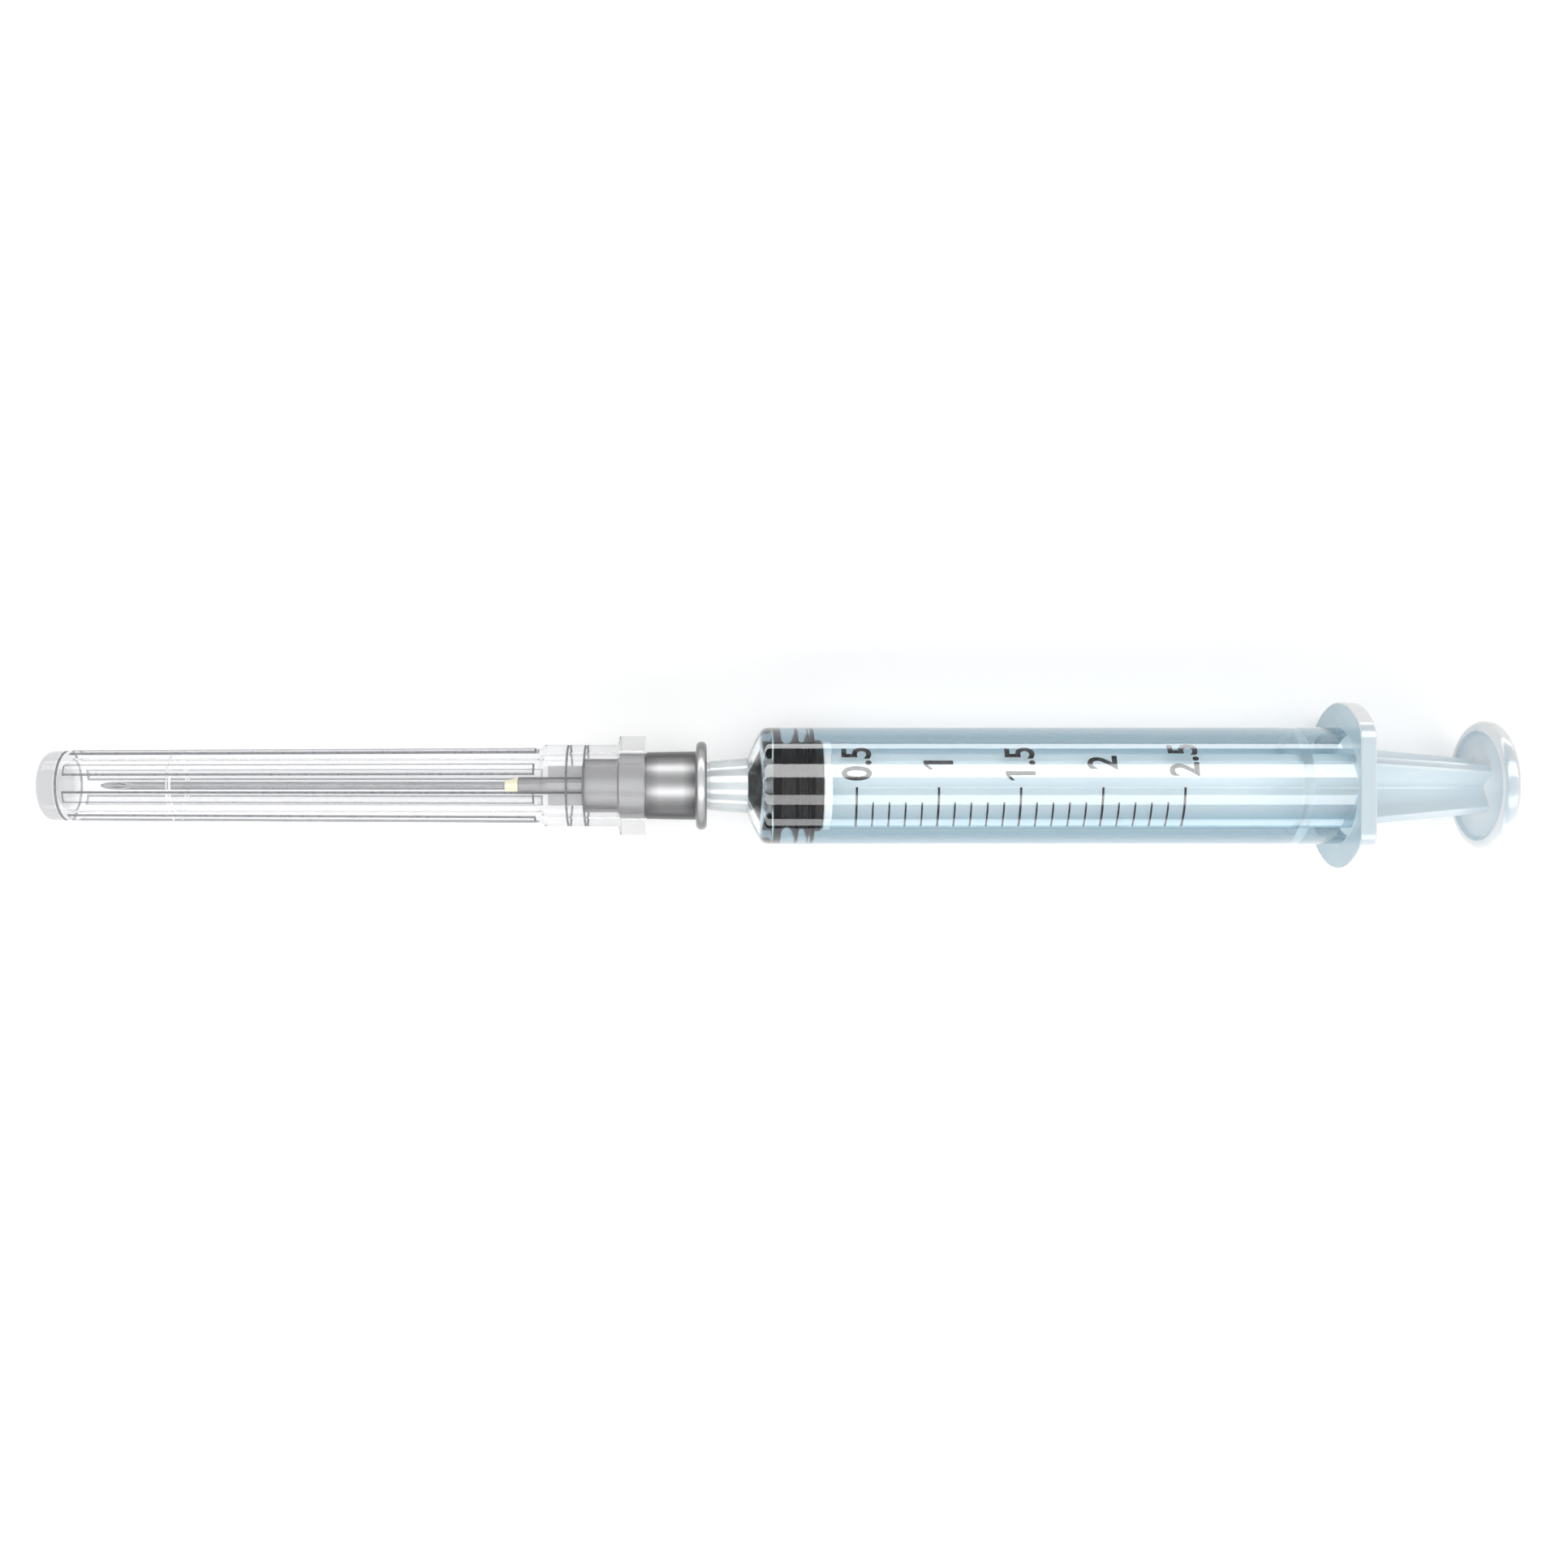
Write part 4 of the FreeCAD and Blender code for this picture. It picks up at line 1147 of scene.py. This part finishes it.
def make_needle():
    """A tube with a slanted point: each ring of the point is sheared along the axis."""
    tip = end_of("cannula", 0)
    slope = 1 / math.tan(math.radians(NEEDLE_BEVEL))
    shape = bmesh.new()
    sections = (
        (NEEDLE_OUT, True),
        (NEEDLE_BORE_OUT, True),
        (NEEDLE_BORE_OUT, False),
        (NEEDLE_OUT, False),
    )
    rings = []
    for out, at_tip in sections:
        ring = []
        for step in range(NEEDLE_AROUND):
            angle = 360 * step / NEEDLE_AROUND
            low = NEEDLE_OUT + out * math.cos(math.radians(angle))
            along = tip + low * slope if at_tip else NEEDLE_BACK
            ring.append(shape.verts.new(spot(along, out, angle)))
        rings.append(ring)
    for ring, following in zip(rings, rings[1:] + rings[:1]):
        for step in range(len(ring)):
            beside = (step + 1) % len(ring)
            shape.faces.new([ring[step], ring[beside], following[beside], following[step]])
    piece = closed_piece("needle_tube", shape, steel)
    dress(piece, "needle", "cannula", "cannula")


def make_resin():
    shape = bmesh.new()
    corners = [
        (RESIN_TIP, NEEDLE_HOLE_OUT, 0),
        (RESIN_TIP, NEEDLE_HOLE_OUT + RESIN_TIP_WALL, 0.02),
        (HUB_TIP, HUB_NECK_OUT - RESIN_SETBACK, 0),
        (HUB_TIP, NEEDLE_HOLE_OUT, 0),
    ]
    add_turned(shape, outline(corners, closed=True), True)
    piece = closed_piece("resin_bead", shape, resin_set)
    dress(piece, "needle", "resin", "resin")


# Needle cap: ribbed tube, stepped base and gripping collar in one moulding

CAP_MOUTH = end_of("needle_cap", 1)
CAP_MOUTH_OUT = 2.97
CAP_MOUTH_END = -11.6
COLLAR_FRONT = CAP_MOUTH - 2.4
COLLAR_OUT = 4.5
CAP_BASE_FRONT = COLLAR_FRONT - 6.66
CAP_BASE_OUT = 3.72
CAP_BASE_BORE = 2.88
CAP_TUBE_ROOT = CAP_BASE_FRONT - 0.44
CAP_ROOT_OUT = 3.36
CAP_TIP_OUT = 3.14
CAP_TUBE_BORE = 2.35
CAP_BORE_END = CAP_TIP + 1.45
CAP_END_ROUNDING = 0.9
CAP_DRAFT = (CAP_ROOT_OUT - CAP_TIP_OUT) / (CAP_TUBE_ROOT - CAP_TIP)
RIB_COUNT = 8
RIB_SPAN = 20.0
CAP_TURN = 3.5
RIB_HEIGHT = 0.12
RIB_SUNK = 0.02
RIB_BEVEL = 0.18
RIB_FRONT = CAP_TIP + 2.55
RIB_BACK = CAP_TUBE_ROOT - 0.3
LINE_HALF_WIDTH = 0.1
LINE_DEPTH = 0.08
BASE_LINES = (COLLAR_FRONT - 4.55, COLLAR_FRONT - 3.0)


def cap_out_at(along):
    """The radius of the cap's tapered tube."""
    return CAP_TIP_OUT + CAP_DRAFT * (along - CAP_TIP)


def cap_line(along, out):
    """The corners of a fine groove round the cap."""
    return [
        (along - LINE_HALF_WIDTH, out, 0),
        (along - LINE_HALF_WIDTH, out - LINE_DEPTH, 0),
        (along + LINE_HALF_WIDTH, out - LINE_DEPTH, 0),
        (along + LINE_HALF_WIDTH, out, 0),
    ]


def cap_slot_at(middle):
    """Slot 1 is the sharp edge of a fine line, painted dark grey as painted shade, and slot 2 the
    thick collar.
    """
    lines = [END_LINE, *BASE_LINES]
    near = any(abs(middle.x - line) < LINE_HALF_WIDTH + SUPPORT / 10 for line in lines)
    if near and middle.y > CAP_BASE_BORE:
        return 1
    return 2 if middle.x > COLLAR_FRONT - SUPPORT and middle.y > CAP_BASE_OUT - SUPPORT else 0


def cap_tube():
    corners = [
        (CAP_TIP, 0, 0),
        (CAP_TIP, CAP_TIP_OUT, CAP_END_ROUNDING),
        *cap_line(END_LINE, cap_out_at(END_LINE)),
        (CAP_TUBE_ROOT, CAP_ROOT_OUT, 0.2),
        (CAP_BASE_FRONT, CAP_BASE_OUT, 0.2),
        *cap_line(BASE_LINES[0], CAP_BASE_OUT),
        *cap_line(BASE_LINES[1], CAP_BASE_OUT),
        (COLLAR_FRONT, CAP_BASE_OUT, 0.05),
        (COLLAR_FRONT, COLLAR_OUT, 0.12),
        (CAP_MOUTH, COLLAR_OUT, 0.12),
        (CAP_MOUTH, CAP_MOUTH_OUT, 0.05),
        (CAP_MOUTH_END, CAP_MOUTH_OUT, 0),
        (CAP_MOUTH_END, CAP_BASE_BORE, 0.03),
        (CAP_BASE_FRONT, CAP_BASE_BORE, 0.2),
        (CAP_TUBE_ROOT, CAP_TUBE_BORE, 0.2),
        (CAP_BORE_END, CAP_TUBE_BORE, CAP_TUBE_BORE / 2),
        (CAP_BORE_END, 0, 0),
    ]
    shape = bmesh.new()
    add_turned(shape, outline(corners), False, slot_at=cap_slot_at)
    bmesh.ops.recalc_face_normals(shape, faces=shape.faces)
    finishes = (cap_clear, cap_edge_painted_shade, cap_milky)
    return mesh_of("cap_tube", shape, [finish.material for finish in finishes])


def make_cap():
    middle = (RIB_FRONT + RIB_BACK) / 2
    ribs = plate_mesh(
        "cap_ribs",
        Start=middle,
        Length=RIB_BACK - RIB_FRONT,
        Out=cap_out_at(middle),
        Draft=CAP_DRAFT,
        Height=RIB_HEIGHT,
        Sunk=RIB_SUNK,
        Middle=180 / RIB_COUNT + CAP_TURN,
        Span=RIB_SPAN,
        Bevel=RIB_BEVEL,
        Round=RIB_COUNT,
        Face=cap_clear.material,
        # The ribs' flanks take the dark painted shade.
        Side=cap_edge_painted_shade.material,
    )
    piece = joined("clear_cap", cap_tube(), ribs)
    dress(piece, "needle_cap", "needle_cap", "needle_cap")
    return piece


make_barrel()
make_marks()
make_numbers()
make_stopper()
make_rod()
hub = make_hub()
make_needle()
make_resin()
cap = make_cap()


# Table, lamps, world and camera

TABLE_HALF = 0.22
TABLE_GLOW = 0.34
LAMP_DISTANCE = 0.35
LAMP_LENGTH = 1.0
POWER_FOR_RADIANCE = 4.0
WORLD_STRENGTH = 0.14


def maths(tree, operation, first, second):
    """What a maths node makes of an output and another output or a number."""
    made = tree.nodes.new("ShaderNodeMath")
    made.operation = operation
    tree.links.new(first, made.inputs[0])
    if isinstance(second, bpy.types.NodeSocket):
        tree.links.new(second, made.inputs[1])
    else:
        made.inputs[1].default_value = second
    return made.outputs[0]


def make_table():
    """A white table within the lamps' reach, white wherever no shadow falls on it."""
    half = TABLE_HALF
    mesh = bpy.data.meshes.new("table")
    corners = [(-half, -half, 0), (half, -half, 0), (half, half, 0), (-half, half, 0)]
    mesh.from_pydata(corners, [], [(0, 1, 2, 3)])
    table = new_object("table", mesh)
    material = bpy.data.materials.new("table_white")
    material.use_nodes = True
    tree = material.node_tree
    paint = tree.nodes["Principled BSDF"]
    paint.inputs["Base Color"].default_value = (0.82, 0.82, 0.82, 1)
    paint.inputs["Roughness"].default_value = 0.9
    paint.inputs["Specular IOR Level"].default_value = 0.1
    paint.inputs["Emission Color"].default_value = (1, 1, 1, 1)
    path = tree.nodes.new("ShaderNodeLightPath")
    seen = path.outputs["Is Camera Ray"]
    for name in ("Is Glossy Ray", "Is Transmission Ray"):
        seen = maths(tree, "MAXIMUM", seen, path.outputs[name])
    tree.links.new(maths(tree, "MULTIPLY", seen, TABLE_GLOW), paint.inputs["Emission Strength"])
    mesh.materials.append(material)


def strip_lamp(name, start, end, radiance, as_gloss, pieces=(), state="INCLUDE"):
    """A long soft lamp beside the axis, from one angle to another as the syringe sees it. It
    either shows as gloss on the surfaces or lights them evenly, and may light some pieces alone
    or leave them out."""
    middle = math.radians((start + end) / 2)
    half_span = math.radians(abs(end - start) / 2)
    lamp = bpy.data.lights.new(name, "AREA")
    lamp.shape = "RECTANGLE"
    lamp.size = LAMP_LENGTH
    lamp.size_y = 2 * LAMP_DISTANCE * math.tan(half_span)
    lamp.energy = radiance * POWER_FOR_RADIANCE * lamp.size * lamp.size_y
    holder = new_object(name, lamp)
    height = AXIS_Z + math.cos(middle) * LAMP_DISTANCE
    holder.location = (0, math.sin(middle) * LAMP_DISTANCE, height)
    holder.rotation_euler.x = -middle
    holder.visible_diffuse = not as_gloss
    holder.visible_glossy = as_gloss
    # Through clear walls a gloss lamp would light what is under them a second time.
    holder.visible_transmission = not as_gloss
    if pieces:
        linked = bpy.data.collections.new(name + "_pieces")
        for piece in pieces:
            linked.objects.link(piece)
        for entry in linked.collection_objects:
            entry.light_linking.link_state = state
        holder.light_linking.receiver_collection = linked


def make_world():
    """Pale light from all round, shown as white to the camera, also through clear walls."""
    world = bpy.data.worlds.new("studio")
    world.use_nodes = True
    tree = world.node_tree
    around = tree.nodes["Background"]
    around.inputs["Color"].default_value = (0.88, 0.92, 0.95, 1)
    around.inputs["Strength"].default_value = WORLD_STRENGTH
    seen = tree.nodes.new("ShaderNodeBackground")
    seen.inputs["Color"].default_value = (1, 1, 1, 1)
    path = tree.nodes.new("ShaderNodeLightPath")
    unscattered = maths(tree, "LESS_THAN", path.outputs["Diffuse Depth"], 0.5)
    through = maths(tree, "MULTIPLY", path.outputs["Is Transmission Ray"], unscattered)
    shown = maths(tree, "MAXIMUM", path.outputs["Is Camera Ray"], through)
    mix = tree.nodes.new("ShaderNodeMixShader")
    tree.links.new(shown, mix.inputs["Fac"])
    tree.links.new(around.outputs[0], mix.inputs[1])
    tree.links.new(seen.outputs[0], mix.inputs[2])
    tree.links.new(mix.outputs[0], tree.nodes["World Output"].inputs["Surface"])
    bpy.context.scene.world = world


CAMERA_PLACE = (-5.352, 0.147, 152.85)
CAMERA_LENS = 37.25
CAMERA_SHIFT = 0.0471


def make_camera():
    camera = bpy.data.cameras.new("camera")
    camera.lens = CAMERA_LENS
    camera.sensor_width = 36
    camera.shift_x = CAMERA_SHIFT
    camera.clip_start = 0.01
    holder = new_object("camera", camera)
    holder.location = [place * MM for place in CAMERA_PLACE]
    bpy.context.scene.camera = holder


make_table()
strip_lamp("side_light", -75, -40, 1.45, as_gloss=False)
strip_lamp("top_light", -20, 25, 1.25, as_gloss=False)
strip_lamp("far_light", 68, 88, 0.8, as_gloss=False)
strip_lamp("upper_strip", 16, 42, 4.6, as_gloss=True, pieces=(hub, cap), state="EXCLUDE")
strip_lamp("lower_strip", -37, -18, 3.3, as_gloss=True, pieces=(hub, cap), state="EXCLUDE")
strip_lamp("upper_edge_strip", 77, 89, 4.4, as_gloss=True, pieces=(hub,), state="EXCLUDE")
strip_lamp("lower_edge_strip", -84, -68, 2.8, as_gloss=True, pieces=(hub,), state="EXCLUDE")
strip_lamp("steep_strip", 54, 72, 4.0, as_gloss=True, pieces=(hub, cap))
strip_lamp("hub_strip", -31, -11, 3.3, as_gloss=True, pieces=(hub,))
make_world()
make_camera()

bpy.context.scene.view_settings.view_transform = "Standard"
